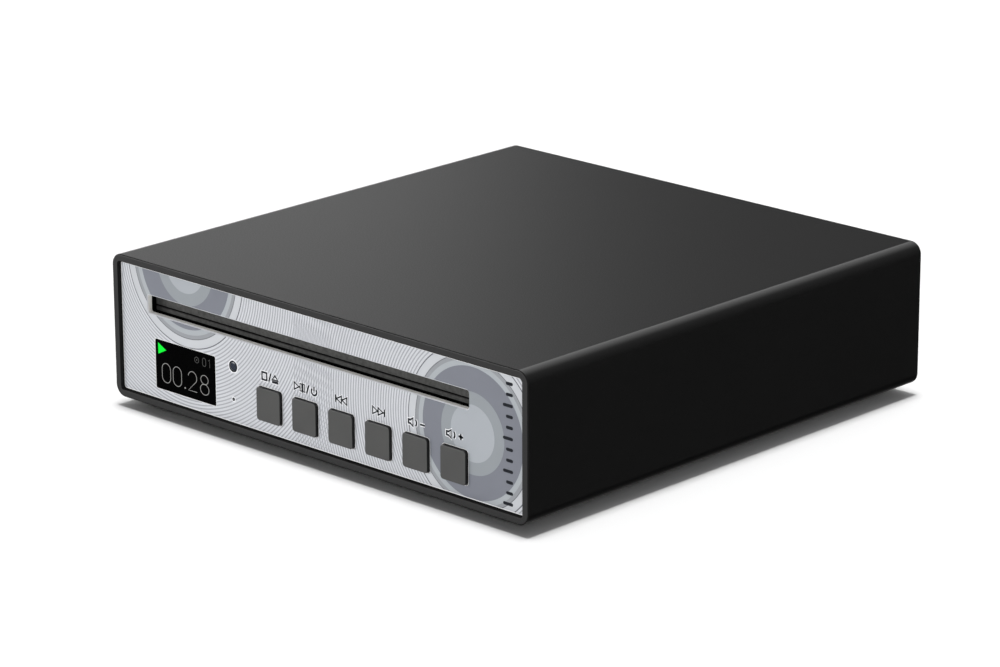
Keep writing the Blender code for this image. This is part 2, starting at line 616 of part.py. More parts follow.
def make_traverse_plate():
    """Plate that carries the spindle motor and the pickup's rods, lifted by four pins."""
    plate = add_object("traverse_plate",
                       span_shape((-0.0440, 0.0440), (0.0560, 0.1488), (0, SHEET)),
                       at(SPINDLE_X, 0, PLATE_Z), ZINC_SHEET)
    cut(plate, span_shape((-0.0330, 0.0330), SLED_WINDOW, (-0.01, 0.01)),
        at(SPINDLE_X, 0, PLATE_Z))
    cut(plate, rod_shape(0.0040, -0.001, 0.002, "Z"), at(*SPINDLE, PLATE_Z))
    for y in (0.0857, 0.1453):
        for x in (-ROD_X, ROD_X):
            join(plate, span_shape((-0.0030, 0.0030), (0, 0.0026), (-0.0036, 0.0006)),
                 at(SPINDLE_X + x, y, PLATE_Z))
            cut(plate, rod_shape(AXLE_R + 0.0001, -0.001, 0.004, "Y"),
                at(SPINDLE_X + x, y, ROD_Z))
    cut(plate, span_shape((-0.0044, 0.0044), (0.0715, 0.0885), (-0.01, 0.01)),
        at(SCREW_AXIS_X, 0, PLATE_Z))
    for side, wall in ((-1, DRIVE_LEFT - 0.0024), (1, DRIVE_RIGHT + 0.0002)):
        edge = SPINDLE_X + side * 0.0430
        for y in LIFT_PINS_Y:
            join(plate, rod_shape(LIFT_PIN_R, min(0, wall - edge), max(0, wall - edge), "X"),
                 at(edge, y, LIFT_PIN_Z))


def make_pickup_unit():
    motor = add_object("spindle_motor", rod_shape(0.0120, 0.0166, PLATE_Z - GAP, "Z", 24, 0.0004),
                       at(*SPINDLE, 0), STEEL)
    cut(motor, rod_shape(0.0015, 0.0170, 0.03, "Z"), at(*SPINDLE, 0))
    profile = [(0.0, 0.0173), (0.0012, 0.0173), (0.0012, 0.0224), (0.0100, 0.0230),
               (0.0145, 0.0236), (0.0145, 0.0250), (0.0074, 0.0250), (0.0074, 0.0257),
               (0.0062, 0.0267), (0.0050, 0.0270), (0.0, 0.0270)]
    add_object("turntable", turned_shape(profile, 24), at(*SPINDLE, 0), BLACK_PLASTIC)
    for name, x in (("guide_rod_left", -ROD_X), ("guide_rod_right", ROD_X)):
        add_object(name, rod_shape(AXLE_R, ROD_FRONT, ROD_REAR - 0.0001, "Y", 16, 0.0003),
                   at(SPINDLE_X + x, 0, ROD_Z), STEEL)
    sled = add_object("pickup_sled", box_shape(0.0500, 0.0130, 0.0050, (0, 0, 0.0025)),
                      at(SPINDLE_X, LENS_Y, 0.0166), BLACK_PLASTIC)
    join(sled, box_shape(0.0160, 0.0120, 0.0020, (0, 0, 0)), at(SPINDLE_X, LENS_Y, 0.0220))
    for x in (-ROD_X, ROD_X):
        cut(sled, rod_shape(AXLE_R + 0.0001, -0.01, 0.01, "Y"), at(SPINDLE_X + x, LENS_Y, ROD_Z))
    profile = [(0.0, 0.0), (0.0026, 0.0), (0.0026, 0.0004), (0.0020, 0.0007), (0.0, 0.0009)]
    add_object("objective_lens", turned_shape(profile, 24), at(SPINDLE_X, LENS_Y, 0.0230 + GAP),
               LENS_GLASS)
    add_object("lead_screw", rod_shape(0.0014, 0.0864, 0.1440, "Y", 20, 0.0003),
               at(SCREW_AXIS_X, 0, SCREW_AXIS_Z), STEEL)
    add_object("sled_motor", rod_shape(0.0036, 0.0730, 0.0860, "Y", 20, 0.0004),
               at(SCREW_AXIS_X, 0, SCREW_AXIS_Z), STEEL)


def make_feed_train():
    """Rubber roller that draws the disc in, and the gears between it and its motor."""
    half = 0.0615
    shaft_right = GEAR_X + GEAR_T + 0.0004
    add_object("roller_shaft",
               rod_shape(AXLE_R, DRIVE_LEFT - 0.0010 - SLOT_X, shaft_right - SLOT_X, "X", 16, 0.0003),
               at(SLOT_X, ROLLER_Y, ROLLER_Z), STEEL)
    bore = AXLE_R + AXLE_CLEAR
    rings = []
    for x, radius in ((-half, 0.0044), (0.0, 0.0036), (half, 0.0044)):
        rings.append([(x, radius * math.cos(a), radius * math.sin(a))
                      for a in [2 * math.pi * i / 16 for i in range(16)]])
    for x in (half, -half):
        rings.append([(x, bore * math.cos(a), bore * math.sin(a))
                      for a in [2 * math.pi * i / 16 for i in range(16)]])
    add_object("feed_roller", loft(rings, close_ends=False), at(SLOT_X, ROLLER_Y, ROLLER_Z),
               RUBBER)
    half_pitch = math.pi / LOADING_TEETH
    for name, teeth, phase, y, hole, mat in (
            ("roller_gear", ROLLER_TEETH, 0.0, ROLLER_Y, bore, GEAR_PLASTIC),
            ("loading_gear", LOADING_TEETH, half_pitch, LOADING_Y, bore, GEAR_PLASTIC),
            ("motor_pinion", PINION_TEETH, 0.0, PINION_Y, 0.0009, BRASS)):
        gear = add_object(name, gear_shape(teeth, phase), at(GEAR_X, y, ROLLER_Z), mat)
        cut(gear, rod_shape(hole, -0.001, GEAR_T + 0.001, "X"), at(GEAR_X, y, ROLLER_Z))
    motor = add_object("loading_motor", rod_shape(0.0060, 0, 0.0086, "X", 20, 0.0004),
                       at(BRACKET_X + SHEET + GAP, PINION_Y, ROLLER_Z), STEEL)
    join(motor, rod_shape(0.0008, -0.0048, 0.0010, "X", 16),
         at(BRACKET_X + SHEET + GAP, PINION_Y, ROLLER_Z))


make_sleeve()
make_feet()
make_front_panel()
make_slot_parts()
make_display()
make_ir_parts()
make_buttons()
make_rear_panel()
make_jacks()
make_rear_screws()
make_base_tray()
make_main_board()
make_drive_chassis()
make_drive_cover()
make_clamp()
make_cam_slider()
make_traverse_plate()
make_pickup_unit()
make_feed_train()
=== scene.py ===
"""Looks of the compact desktop CD player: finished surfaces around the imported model.

Metres, +Z up, the front faces -Y. Places on the front and rear are given in millimetres, x from
the middle and z up from the sleeve's underside; front_point() turns them into the frame.
"""
import json
from math import cos, hypot, pi, radians, sin

import bmesh
import bpy
from mathutils import Euler, Matrix, Vector, noise

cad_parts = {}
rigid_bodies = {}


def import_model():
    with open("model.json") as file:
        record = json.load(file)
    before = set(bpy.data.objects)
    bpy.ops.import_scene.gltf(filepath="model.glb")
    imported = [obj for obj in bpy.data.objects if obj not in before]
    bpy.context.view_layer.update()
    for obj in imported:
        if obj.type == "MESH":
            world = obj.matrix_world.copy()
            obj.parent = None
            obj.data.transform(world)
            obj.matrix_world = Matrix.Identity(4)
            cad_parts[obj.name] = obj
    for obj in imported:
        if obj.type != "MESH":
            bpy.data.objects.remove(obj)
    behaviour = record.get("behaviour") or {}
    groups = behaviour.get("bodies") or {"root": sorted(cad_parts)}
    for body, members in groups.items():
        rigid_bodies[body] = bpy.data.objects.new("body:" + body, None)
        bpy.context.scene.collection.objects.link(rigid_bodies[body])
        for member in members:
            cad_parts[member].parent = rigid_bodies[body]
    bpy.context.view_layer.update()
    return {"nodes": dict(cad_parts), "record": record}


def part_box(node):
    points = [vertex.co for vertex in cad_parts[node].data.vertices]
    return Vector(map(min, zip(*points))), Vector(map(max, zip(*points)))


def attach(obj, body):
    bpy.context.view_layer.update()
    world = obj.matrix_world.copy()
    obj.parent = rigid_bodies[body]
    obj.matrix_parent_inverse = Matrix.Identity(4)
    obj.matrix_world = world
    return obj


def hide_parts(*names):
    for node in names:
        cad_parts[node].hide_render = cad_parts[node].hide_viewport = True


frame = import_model()
SLOT_OF = {entry["node"]: entry["material_slot"] for entry in frame["record"]["subparts"]}
MM = 0.001
EASE = 0.00005              # width of the strips that keep flats flat in smooth shading

# ---------- places from the frame
SLEEVE_LOW, SLEEVE_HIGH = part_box("enclosure_sleeve")
PANEL_LOW, PANEL_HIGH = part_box("front_panel")
SLEEVE_W = SLEEVE_HIGH.x - SLEEVE_LOW.x
SLEEVE_H = SLEEVE_HIGH.z - SLEEVE_LOW.z
SLEEVE_MID = (SLEEVE_HIGH.z + SLEEVE_LOW.z) / 2
BASE_Z = SLEEVE_LOW.z
PANEL_FACE = PANEL_LOW.y
REAR_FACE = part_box("rear_panel")[1].y
SLEEVE_WALL = 0.0021
SLEEVE_CORNER_R = 0.0035
SLEEVE_INNER_R = 0.0011
SLEEVE_EDGE = 0.0003        # rounding of the sleeve's outer rims
SLEEVE_LIP = 0.0001         # rounding of its inner rims

# ---------- front, in millimetres
SLOT_X, SLOT_Z = -4.55, 29.75
SLOT_W, SLOT_H = 126.2, 5.25
PINHOLE = (-32.6, 9.22)
LABEL_Z = 18.87             # middle of the buttons' symbols
BUTTONS = ("stop_eject", "play_power", "previous", "next", "volume_down", "volume_up")

# unprinted holes: margin round the slot and the display, then half sizes and corner radii
SLOT_MARGIN, SLOT_HOLE_R = 0.27, 1.0
WINDOW_MARGIN, WINDOW_HOLE_R = 0.32, 0.6
BUTTON_HOLE = (4.95, 5.07, 1.1)
IR_HOLE_R = 1.5
PINHOLE_R = 0.5
PANEL_MARGIN = 0.05

# printed rings from the middle outwards: outer radius, ink and the ink's colour
RING_CENTRES = ((-51.7, 44.0), (59.95, 20.87))
RINGS = (
    (7.97, "ink_pale_grey", (0.354, 0.376, 0.405)),
    (11.52, "ink_mid_grey", (0.262, 0.284, 0.303)),
    (18.4, "ink_slate", (0.180, 0.190, 0.222)),
    (19.9, "ink_light_grey", (0.360, 0.385, 0.408)),
    (20.95, "ink_band_grey", (0.275, 0.288, 0.305)),
    (21.2, "ink_band_edge", (0.150, 0.155, 0.175)),
    (23.6, "ink_pale_band", (0.500, 0.515, 0.540)),
    (23.9, "ink_hairline", (0.120, 0.125, 0.145)),
)
# fine lines outside the rings
FIRST_LINE_R = 24.75
LINE_PITCH = 0.956
LINE_WIDTH = 0.36
LINES_SPLIT = (-8.0, 7.0)   # the right-hand lines start and the left-hand lines end here
THINNEST = 0.30             # share of the width that is left where a family ends
RING_CLEARANCE = FIRST_LINE_R - 0.3     # nearest a line comes to a ring's centre
SHORTEST_LINE = 0.25
LINE_STEP = 0.25            # spacing of the points that are tested along a line
LINE_CHORD = 1.2
LINE_REACH = 30             # how far the radii go on, to the panel's corners

# heights of the layers of print, and of the display's lit shapes
PRINT_T = 0.02
RIGHT_LINES_T = 0.028       # higher, so that crossing lines never share a face
GLINT_T = 0.03
HALO_T = 0.035
BAR_T = 0.05
LABEL_T = 0.055
LIT = (-0.01, 0.015)
LIT_STROKE = 0.17
MITRE_LIMIT = 0.35          # keeps the tips of sharp corners of strokes short

# felt strips: rows of points as shares of the height from the seam, and columns; then in metres
FELT_ROWS = (0.0, 0.02, 0.05, 0.10, 0.17, 0.25, 0.4, 0.55, 0.7, 0.85, 1.0)
FELT_COLUMNS = 260
FELT_NAP, NAP_SCALE = 0.00006, 900      # height of the nap, and its bumps per metre
FELT_SINK = 0.00008
SEAM_ROLL, SEAM_SHARE = 0.00012, 0.04   # how deep and how far from the seam the lip rolls in

# ---------- studio
WORLD_TONES = ((0.0, 0.25), (0.08, 0.20), (0.18, 0.02), (0.50, 0.05), (0.62, 0.11), (0.95, 0.24))
FLOOR_SIZE = 6.0
FLOOR_DROP = 0.0001
# name, direction it comes from, strength, angle in degrees; all but the first light only the floor
SUNS = (("overhead_sun", (0, 0, 2), 2.15, 10),
        ("overhead_soft", (0, 0, 2), 0.50, 20),
        ("floor_behind", (-0.45, 0.50, 1.0), 0.42, 70),
        ("floor_wash", (0.66, -0.69, 0.36), 0.45, 10))
# name, place, height that it is aimed at, watts, width and height; they light only the player
AREAS = (("key_front_left", (-1.15, -1.25, 0.38), 0.02, 17, 1.0, 0.6),
         ("fill_front_right", (1.0, -1.3, 0.50), 0.02, 8, 0.8, 0.6),
         ("back_left_panel", (-0.85, 0.52, 0.36), 0.03, 0.78, 0.5, 0.3))
CAMERA_ANGLES = (43.743, 17.541, -0.205)        # azimuth, elevation and roll, degrees
CAMERA_OFFSET = (5.25438, -4.50886, 2.28800)    # from the sleeve's lowest corner, in its widths
CAMERA_LENS = 147.74


def front_point(x, z, proud=0.0):
    """Frame place of a point of the front, proud of the panel's face in millimetres."""
    return Vector((x * MM, PANEL_FACE - proud * MM, BASE_Z + z * MM))


def rear_point(x, z, proud=0.0):
    """The same for the rear panel."""
    return Vector((x * MM, REAR_FACE + proud * MM, BASE_Z + z * MM))


def node_centre(name):
    low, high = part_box(name)
    return (low + high) / 2


def centre_at(name, y):
    """Middle of a node across X and Z, at the depth y."""
    spot = node_centre(name)
    return Vector((spot.x, y, spot.z))


def flat_spot(name):
    """(x, z) of a node's middle in the millimetres of the front and rear."""
    spot = node_centre(name)
    return spot.x / MM, (spot.z - BASE_Z) / MM


# ---------- materials
MATS = {}


def grey(value):
    return (value, value, value)


class Tree:
    """Node tree of a material or world, with short calls for the nodes used here."""

    def __init__(self, owner):
        self.nodes = owner.node_tree.nodes
        self.link = owner.node_tree.links.new
        self.shader = self.nodes.get("Principled BSDF")

    def add(self, kind):
        return self.nodes.new("ShaderNode" + kind)

    def set(self, **values):
        """Set constants on the shader's own sockets; _ stands for a space in a name."""
        for name, value in values.items():
            self.shader.inputs[name.replace("_", " ")].default_value = value

    def noise(self, coords, scale, detail, stretch=None):
        """Noise in the object's own space; stretch scales the axes for drawn grain."""
        tex = self.add("TexNoise")
        tex.inputs["Scale"].default_value = scale
        tex.inputs["Detail"].default_value = detail
        source = coords.outputs["Object"]
        if stretch:
            mapping = self.add("Mapping")
            mapping.inputs["Scale"].default_value = stretch
            self.link(source, mapping.inputs["Vector"])
            source = mapping.outputs["Vector"]
        self.link(source, tex.inputs["Vector"])
        return tex.outputs["Fac"]

    def ramp(self, source, low, high, start=0.3, end=0.7):
        """low where source is at start, high where it is at end, clamped."""
        node = self.add("MapRange")
        for name, value in (("From Min", start), ("From Max", end), ("To Min", low),
                            ("To Max", high)):
            node.inputs[name].default_value = value
        self.link(source, node.inputs["Value"])
        return node.outputs["Result"]

    def math(self, operation, *sources):
        node = self.add("Math")
        node.operation = operation
        for index, source in enumerate(sources):
            self.link(source, node.inputs[index])
        return node.outputs[0]

    def mix(self, factor, first, second):
        """Mix two colours, each a constant or a socket."""
        node = self.add("Mix")
        node.data_type = "RGBA"
        for socket, value in ((node.inputs[6], first), (node.inputs[7], second)):
            if isinstance(value, bpy.types.NodeSocket):
                self.link(value, socket)
            else:
                socket.default_value = (*value, 1.0)
        self.link(factor, node.inputs[0])
        return node.outputs[2]

    def edge_mask(self, radius):
        """1 on worn edges: where a bevelled normal leaves the true one."""
        bevel = self.add("Bevel")
        bevel.samples = 4
        bevel.inputs["Radius"].default_value = radius
        geometry = self.add("NewGeometry")
        dot = self.add("VectorMath")
        dot.operation = "DOT_PRODUCT"
        self.link(bevel.outputs["Normal"], dot.inputs[0])
        self.link(geometry.outputs["Normal"], dot.inputs[1])
        return self.ramp(dot.outputs["Value"], 1.0, 0.0, 0.80, 0.995)


def new_material(name):
    mat = bpy.data.materials.new(name)
    mat.use_nodes = True
    return mat, Tree(mat)


def surface(name, colour, roughness, metallic=0.0, specular=0.5, grain=0.0008, bump=0.02,
            tint=0.08, rough_spread=0.06, patch=0.02, stretch=None, wear=None, wear_r=0.0003,
            coat=0.0, sheen=0.0):
    """Procedural finish: patchy tint, fine grain in the bump, uneven gloss and worn edges.

    grain and patch are feature sizes in metres; bump is the grain's depth in millimetres.
    """
    mat, tree = new_material(name)
    coords = tree.add("TexCoord")
    broad = tree.noise(coords, 1.0 / patch, 4.0, stretch)
    fine = tree.noise(coords, 1.0 / grain, 4.0, stretch)
    dark = tuple(c * (1 - tint) for c in colour)
    light = tuple(min(1.0, c * (1 + tint)) for c in colour)
    base = tree.mix(tree.ramp(broad, 0, 1), dark, light)
    base = tree.mix(tree.ramp(fine, 0.0, 0.35), base, light)
    if wear:
        mask = tree.edge_mask(wear_r)
        rub = tree.math("MULTIPLY", mask, tree.ramp(broad, 0.25, 0.9))
        base = tree.mix(rub, base, wear)
    tree.link(base, tree.shader.inputs["Base Color"])
    rough = tree.ramp(fine, roughness - rough_spread, roughness + rough_spread)
    tree.link(rough, tree.shader.inputs["Roughness"])
    bump_node = tree.add("Bump")
    bump_node.inputs["Distance"].default_value = bump * MM
    bump_node.inputs["Strength"].default_value = 0.6
    tree.link(fine, bump_node.inputs["Height"])
    tree.link(bump_node.outputs["Normal"], tree.shader.inputs["Normal"])
    tree.set(Metallic=metallic, Specular_IOR_Level=specular, Coat_Weight=coat,
             Sheen_Weight=sheen)
    MATS[name] = mat
    return mat


def open_finish(name):
    """Tree, base colour socket, its present source and true normal of a finish to change."""
    tree = Tree(MATS[name])
    geometry = tree.add("NewGeometry")
    split = tree.add("SeparateXYZ")
    tree.link(geometry.outputs["True Normal"], split.inputs["Vector"])
    base = tree.shader.inputs["Base Color"]
    return tree, base, base.links[0].from_socket, split.outputs


def paint_flank_shade_and_highlight(name, colour, full=-0.95, none=-0.60):
    """Paint another colour on every face that doesn't look to the front: painted shade on caps and
    felts, painted highlight on the silver panel's hole walls.

    full and none are the normal's Y where the front's own colour begins and ends to fade.
    """
    tree, base, face, normal = open_finish(name)
    tree.link(tree.mix(tree.ramp(normal["Y"], 1.0, 0.0, full, none), colour, face), base)


def paint_front_light(name, colour):
    """Painted light: give the faces that look straight to the front another, lighter colour."""
    tree, base, rest, normal = open_finish(name)
    tree.link(tree.mix(tree.ramp(normal["Y"], 1.0, 0.0, -0.998, -0.97), rest, colour), base)


def paint_lower_corner_shade_and_reflection(name, dark, light):
    """Painted shade on the side of each lower round corner, and a painted reflection of the floor
    on its underside.
    """
    tree, base, flat, normal = open_finish(name)
    drop = normal["Z"]
    tree.link(tree.mix(tree.ramp(drop, 1.0, 0.0, -0.20, -0.01), flat, dark), base)
    turned = tree.ramp(drop, 1.0, 0.0, -0.68, -0.58)
    still = tree.ramp(drop, 0.0, 1.0, -0.86, -0.80)
    band = tree.math("MULTIPLY", turned, still)
    tree.link(tree.mix(band, base.links[0].from_socket, light), base)


def paint_corner_highlights(name, colour):
    """Painted highlight: lighten the line where the flat top and bottom run into the round
    corners.
    """
    tree, base, flat, normal = open_finish(name)
    lean = tree.math("ABSOLUTE", normal["X"])
    slope = tree.math("ABSOLUTE", normal["Y"])
    near = tree.ramp(lean, 0.0, 1.0, 0.03, 0.05)
    far = tree.ramp(lean, 1.0, 0.0, 0.10, 0.72)
    along = tree.ramp(slope, 1.0, 0.0, 0.01, 0.05)
    mask = tree.math("MULTIPLY", tree.math("MULTIPLY", near, far), along)
    tree.link(tree.mix(mask, flat, colour), base)


def glow(name, colour, strength):
    """Lit display segment with a slight unevenness along the pixel rows."""
    mat, tree = new_material(name)
    rows = tree.noise(tree.add("TexCoord"), 9000.0, 1.0)
    tone = tree.mix(tree.ramp(rows, 0.85, 1.0), (0, 0, 0), colour)
    tree.link(tone, tree.shader.inputs["Emission Color"])
    tree.set(Base_Color=(*grey(0.004), 1), Roughness=0.3, Emission_Strength=strength)
    return mat


def ink_and_painted_light(name, colour, roughness=0.5):
    """Screen-printed ink on the panel, also the finish of its painted highlights and shade: fine
    mottling and a soft satin.
    """
    return surface(name, colour, roughness, specular=0.35, grain=0.0004, bump=0.002, tint=0.02,
                   rough_spread=0.04, patch=0.008)


def dull_shade_finish(name, value):
    """Dull near-black finish without gloss, used for painted shade: on the sleeve's inner walls
    and front rim line, and inside the slot.
    """
    return surface(name, grey(value), 0.8, specular=0.0, grain=0.0006, bump=0.003)


# finishes of the record's material slots
surface("black_anodised", grey(0.0055), 0.46, grain=0.00035, bump=0.004, tint=0.06, patch=0.03,
        wear=grey(0.010), wear_r=0.00020)
surface("silver_front", (0.61, 0.622, 0.652), 0.38, metallic=0.10, grain=0.0003, bump=0.002,
        tint=0.025, wear=grey(0.80), wear_r=0.00015)
surface("black_plastic", grey(0.012), 0.5, grain=0.0004, bump=0.006, wear=grey(0.04))
surface("felt", (0.062, 0.062, 0.060), 0.95, specular=0.1, grain=0.00018, bump=0.12, tint=0.35,
        patch=0.0012, sheen=0.08)
surface("dark_glass", (0.001, 0.001, 0.0011), 0.09, specular=0.12, grain=0.002, bump=0.0004,
        rough_spread=0.02)
surface("button_plastic", (0.073, 0.073, 0.0715), 0.42, specular=0.35, grain=0.00030,
        bump=0.004, tint=0.05, patch=0.006, wear=(0.11, 0.11, 0.108), wear_r=0.00020)
surface("circuit_board", (0.015, 0.11, 0.05), 0.4, grain=0.0012, tint=0.25, patch=0.004)
surface("zinc_sheet", (0.56, 0.57, 0.58), 0.38, metallic=0.9, grain=0.0015, bump=0.004,
        tint=0.14, patch=0.008, wear=grey(0.75))
surface("steel", (0.52, 0.52, 0.53), 0.28, metallic=1.0, grain=0.0006, bump=0.003,
        stretch=(1.0, 6.0, 1.0), wear=grey(0.8))
surface("brass", (0.83, 0.62, 0.28), 0.22, metallic=1.0, grain=0.0006, bump=0.002, tint=0.06,
        stretch=(1.0, 5.0, 1.0), wear=(0.95, 0.82, 0.55))
surface("rubber", grey(0.022), 0.78, specular=0.3, grain=0.0004, tint=0.12, patch=0.003,
        wear=grey(0.06))
surface("gear_plastic", (0.78, 0.76, 0.70), 0.42, grain=0.0006, bump=0.005, tint=0.05,
        wear=(0.9, 0.89, 0.86))
surface("lens_glass", (0.16, 0.24, 0.45), 0.06, grain=0.002, bump=0.0005, coat=0.5,
        rough_spread=0.02)

# painted highlight along the sleeve's long round edges
paint_corner_highlights("black_anodised", grey(0.12))
# painted shade low on the sleeve's sides, painted floor reflection under its round corners
paint_lower_corner_shade_and_reflection("black_anodised", grey(0.0004), grey(0.075))
# painted light on the sleeve's front rim
paint_front_light("black_anodised", grey(0.022))
# painted shade on the caps' sides, down in the panel's holes
paint_flank_shade_and_highlight("button_plastic", grey(0.004))
# painted highlight on the walls of the panel's holes
paint_flank_shade_and_highlight("silver_front", (0.95, 0.94, 0.91), -0.66, -0.40)
# painted shade on the felts' flanks and in the seam between them
paint_flank_shade_and_highlight("felt", grey(0.004))

# near-black slot frame and strips: partly black plastic, partly painted shade inside the slot
SLOT_BLACK_AND_SHADE = dull_shade_finish("slot_black_and_painted_shade", 0.0012)
# painted shade on the sleeve's inner walls and the thin dark line of its front rim
SLEEVE_SHADE = dull_shade_finish("sleeve_painted_shade", 0.014)
INK_LINE = ink_and_painted_light("ink_fine_line", (0.355, 0.365, 0.395))
# navy print, also the painted shade round the small holes and in the pinhole
NAVY_INK_AND_SHADE = ink_and_painted_light("navy_ink_and_painted_shade", (0.006, 0.008, 0.014))
# pale halo round the symbols, also the painted highlight round the small holes
PALE_HALO_AND_HIGHLIGHT = ink_and_painted_light("pale_halo_and_painted_highlight", (0.80, 0.81, 0.83))
# painted highlight for the hairlines along the panel's edge and holes
PAINTED_GLINT = ink_and_painted_light("painted_glint", grey(0.84))
INK_WHITE = ink_and_painted_light("ink_white", (0.75, 0.75, 0.74))
INK_RED = ink_and_painted_light("ink_red", (0.55, 0.02, 0.02))


# ---------- mesh helpers
def mesh_object(name, bm):
    """Put a bmesh into the scene as an object, and free it."""
    mesh = bpy.data.meshes.new(name)
    bm.to_mesh(mesh)
    bm.free()
    obj = bpy.data.objects.new(name, mesh)
    bpy.context.scene.collection.objects.link(obj)
    return obj


def add_piece(name, bm, mat, node=None, body="enclosure", smooth=35):
    """Turn a bmesh into a piece that rides on a body, in place of a node if one is given."""
    bmesh.ops.recalc_face_normals(bm, faces=bm.faces)
    obj = mesh_object(name, bm)
    obj.data.materials.append(mat)
    if smooth:
        obj.data.shade_smooth()
        obj.data.set_sharp_from_angle(angle=radians(smooth))
    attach(obj, body)
    if node:
        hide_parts(node)
    return obj


def add_print(name, bm, mat):
    """Add a flat-shaded piece, as print and lit shapes are."""
    return add_piece(name, bm, mat, smooth=0)


def skin_rings(bm, rings, close_ends=True):
    """Skin equal rings of points inside a bmesh; without ends the last joins the first."""
    rows = [[bm.verts.new(point) for point in ring] for ring in rings]
    pairs = list(zip(rows, rows[1:]))
    if close_ends:
        bm.faces.new(rows[0])
        bm.faces.new(list(reversed(rows[-1])))
    else:
        pairs.append((rows[-1], rows[0]))
    count = len(rows[0])
    for low, high in pairs:
        for i in range(count):
            j = (i + 1) % count
            bm.faces.new((low[i], low[j], high[j], high[i]))


def rounded_outline(width, height, radius, steps=8, ease=0.0):
    """Rounded rectangle; ease adds a point on the flats next to each corner."""
    points = []
    for sign_u, sign_v, start in ((1, 1, 0), (-1, 1, 90), (-1, -1, 180), (1, -1, 270)):
        corner = []
        for step in range(steps + 1):
            angle = radians(start + 90 * step / steps)
            corner.append((sign_u * (width / 2 - radius) + radius * cos(angle),
                           sign_v * (height / 2 - radius) + radius * sin(angle)))
        if ease:
            u, v = ease * cos(radians(start)), ease * sin(radians(start))
            corner.insert(0, (corner[0][0] + v, corner[0][1] - u))
            corner.append((corner[-1][0] - u, corner[-1][1] - v))
        points += corner
    return points


def plate_rings(centre, width, height, radius, profile, steps=8):
    """Rings of a rounded rectangle across X and Z; profile holds (y, inset) pairs."""
    rings = []
    for y, inset in profile:
        outline = rounded_outline(width - 2 * inset, height - 2 * inset,
                                  max(radius - inset, 1e-5), steps, EASE)
        rings.append([(centre.x + u, y, centre.z + v) for u, v in outline])
    return rings


def fillet(y_edge, size, towards):
    """(y, inset) pairs that round an edge: from the face at y_edge onto the side.

    An extra pair on either side keeps the neighbouring flats flat in smooth shading.
    """
    steps = 4
    pairs = [(y_edge, size + EASE)]
    for step in range(steps + 1):
        angle = radians(90 * step / steps)
        pairs.append((y_edge + towards * size * (1 - cos(angle)),
                      size * (1 - sin(angle))))
    pairs.append((y_edge + towards * (size + EASE), 0.0))
    return pairs


def turned_piece(name, centre, profile, mat, node=None, segments=48, axis="Y"):
    """Piece turned from (radius, height) points that start and end on an axis, Y or Z."""
    bm = bmesh.new()
    rows = []
    for radius, height in profile:
        row = []
        for i in range(segments if radius else 1):
            angle = 2 * pi * i / segments
            u, v = radius * cos(angle), radius * sin(angle)
            row.append(bm.verts.new(centre + Vector((v, height, u) if axis == "Y"
                                                    else (u, v, height))))
        rows.append(row)
    for low, high in zip(rows, rows[1:]):
        for i in range(segments):
            j = (i + 1) % segments
            corners = (low[i % len(low)], low[j % len(low)], high[j % len(high)],
                       high[i % len(high)])
            bm.faces.new(list(dict.fromkeys(corners)))
    return add_piece(name, bm, mat, node)


def polar(centre, radius, angle):
    """Point of a circle in its own plane."""
    return centre[0] + radius * cos(angle), centre[1] + radius * sin(angle)


def circle(centre, radius, count=160):
    return [polar(centre, radius, 2 * pi * i / count) for i in range(count)]


def hoop(bm, centre, corners, segments):
    """Closed band round a line along Y; corners are (radius, y) pairs round its section."""
    skin_rings(bm, [[centre + Vector((u, y, v)) for u, v in circle((0, 0), radius, segments)]
                    for radius, y in corners], close_ends=False)


def boolean(target, tool, operation):
    modifier = target.modifiers.new("clip", "BOOLEAN")
    modifier.operation = operation
    modifier.solver = "EXACT"
    modifier.object = tool


def applied(obj):
    """The object's evaluated mesh, as a mesh of its own."""
    bpy.context.view_layer.update()
    evaluated = obj.evaluated_get(bpy.context.evaluated_depsgraph_get())
    return bpy.data.meshes.new_from_object(evaluated)


def remove(*objects):
    for obj in objects:
        bpy.data.objects.remove(obj, do_unlink=True)


# ---------- flat print on the front, with painted highlights and shade round its holes
def slab(bm, outline, low, high, point=front_point):
    """Closed slab over a flat outline of (x, z) millimetres, between two heights."""
    skin_rings(bm, [[point(x, z, proud) for x, z in outline] for proud in (low, high)])


def panel_holes():
    """(x, z, half width, half height, corner) of each hole in the front panel, millimetres."""
    low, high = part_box("display_window")
    holes = [(SLOT_X, SLOT_Z, SLOT_W / 2 + SLOT_MARGIN, SLOT_H / 2 + SLOT_MARGIN, SLOT_HOLE_R),
             (*flat_spot("display_window"), (high.x - low.x) / 2 / MM + WINDOW_MARGIN,
              (high.z - low.z) / 2 / MM + WINDOW_MARGIN, WINDOW_HOLE_R)]
    holes += [(*flat_spot("button_" + name), *BUTTON_HOLE) for name in BUTTONS]
    for centre, radius in ((flat_spot("ir_window"), IR_HOLE_R), (PINHOLE, PINHOLE_R)):
        holes.append((*centre, radius, radius, radius))
    return holes


HOLES = panel_holes()
# printed face of the panel: half width, lowest and highest z
PANEL_BOX = ((PANEL_HIGH.x - PANEL_LOW.x) / 2 / MM - PANEL_MARGIN,
             (PANEL_LOW.z - BASE_Z) / MM + PANEL_MARGIN,
             (PANEL_HIGH.z - BASE_Z) / MM - PANEL_MARGIN)


def on_panel(x, z):
    """True where the panel has a face to print on."""
    half, low, high = PANEL_BOX
    if abs(x) > half or not low < z < high:
        return False
    for hx, hz, hw, hh, corner in HOLES:
        dx = max(abs(x - hx) - (hw - corner), 0.0)
        dz = max(abs(z - hz) - (hh - corner), 0.0)
        if hypot(dx, dz) < corner and abs(x - hx) < hw and abs(z - hz) < hh:
            return False
    return True


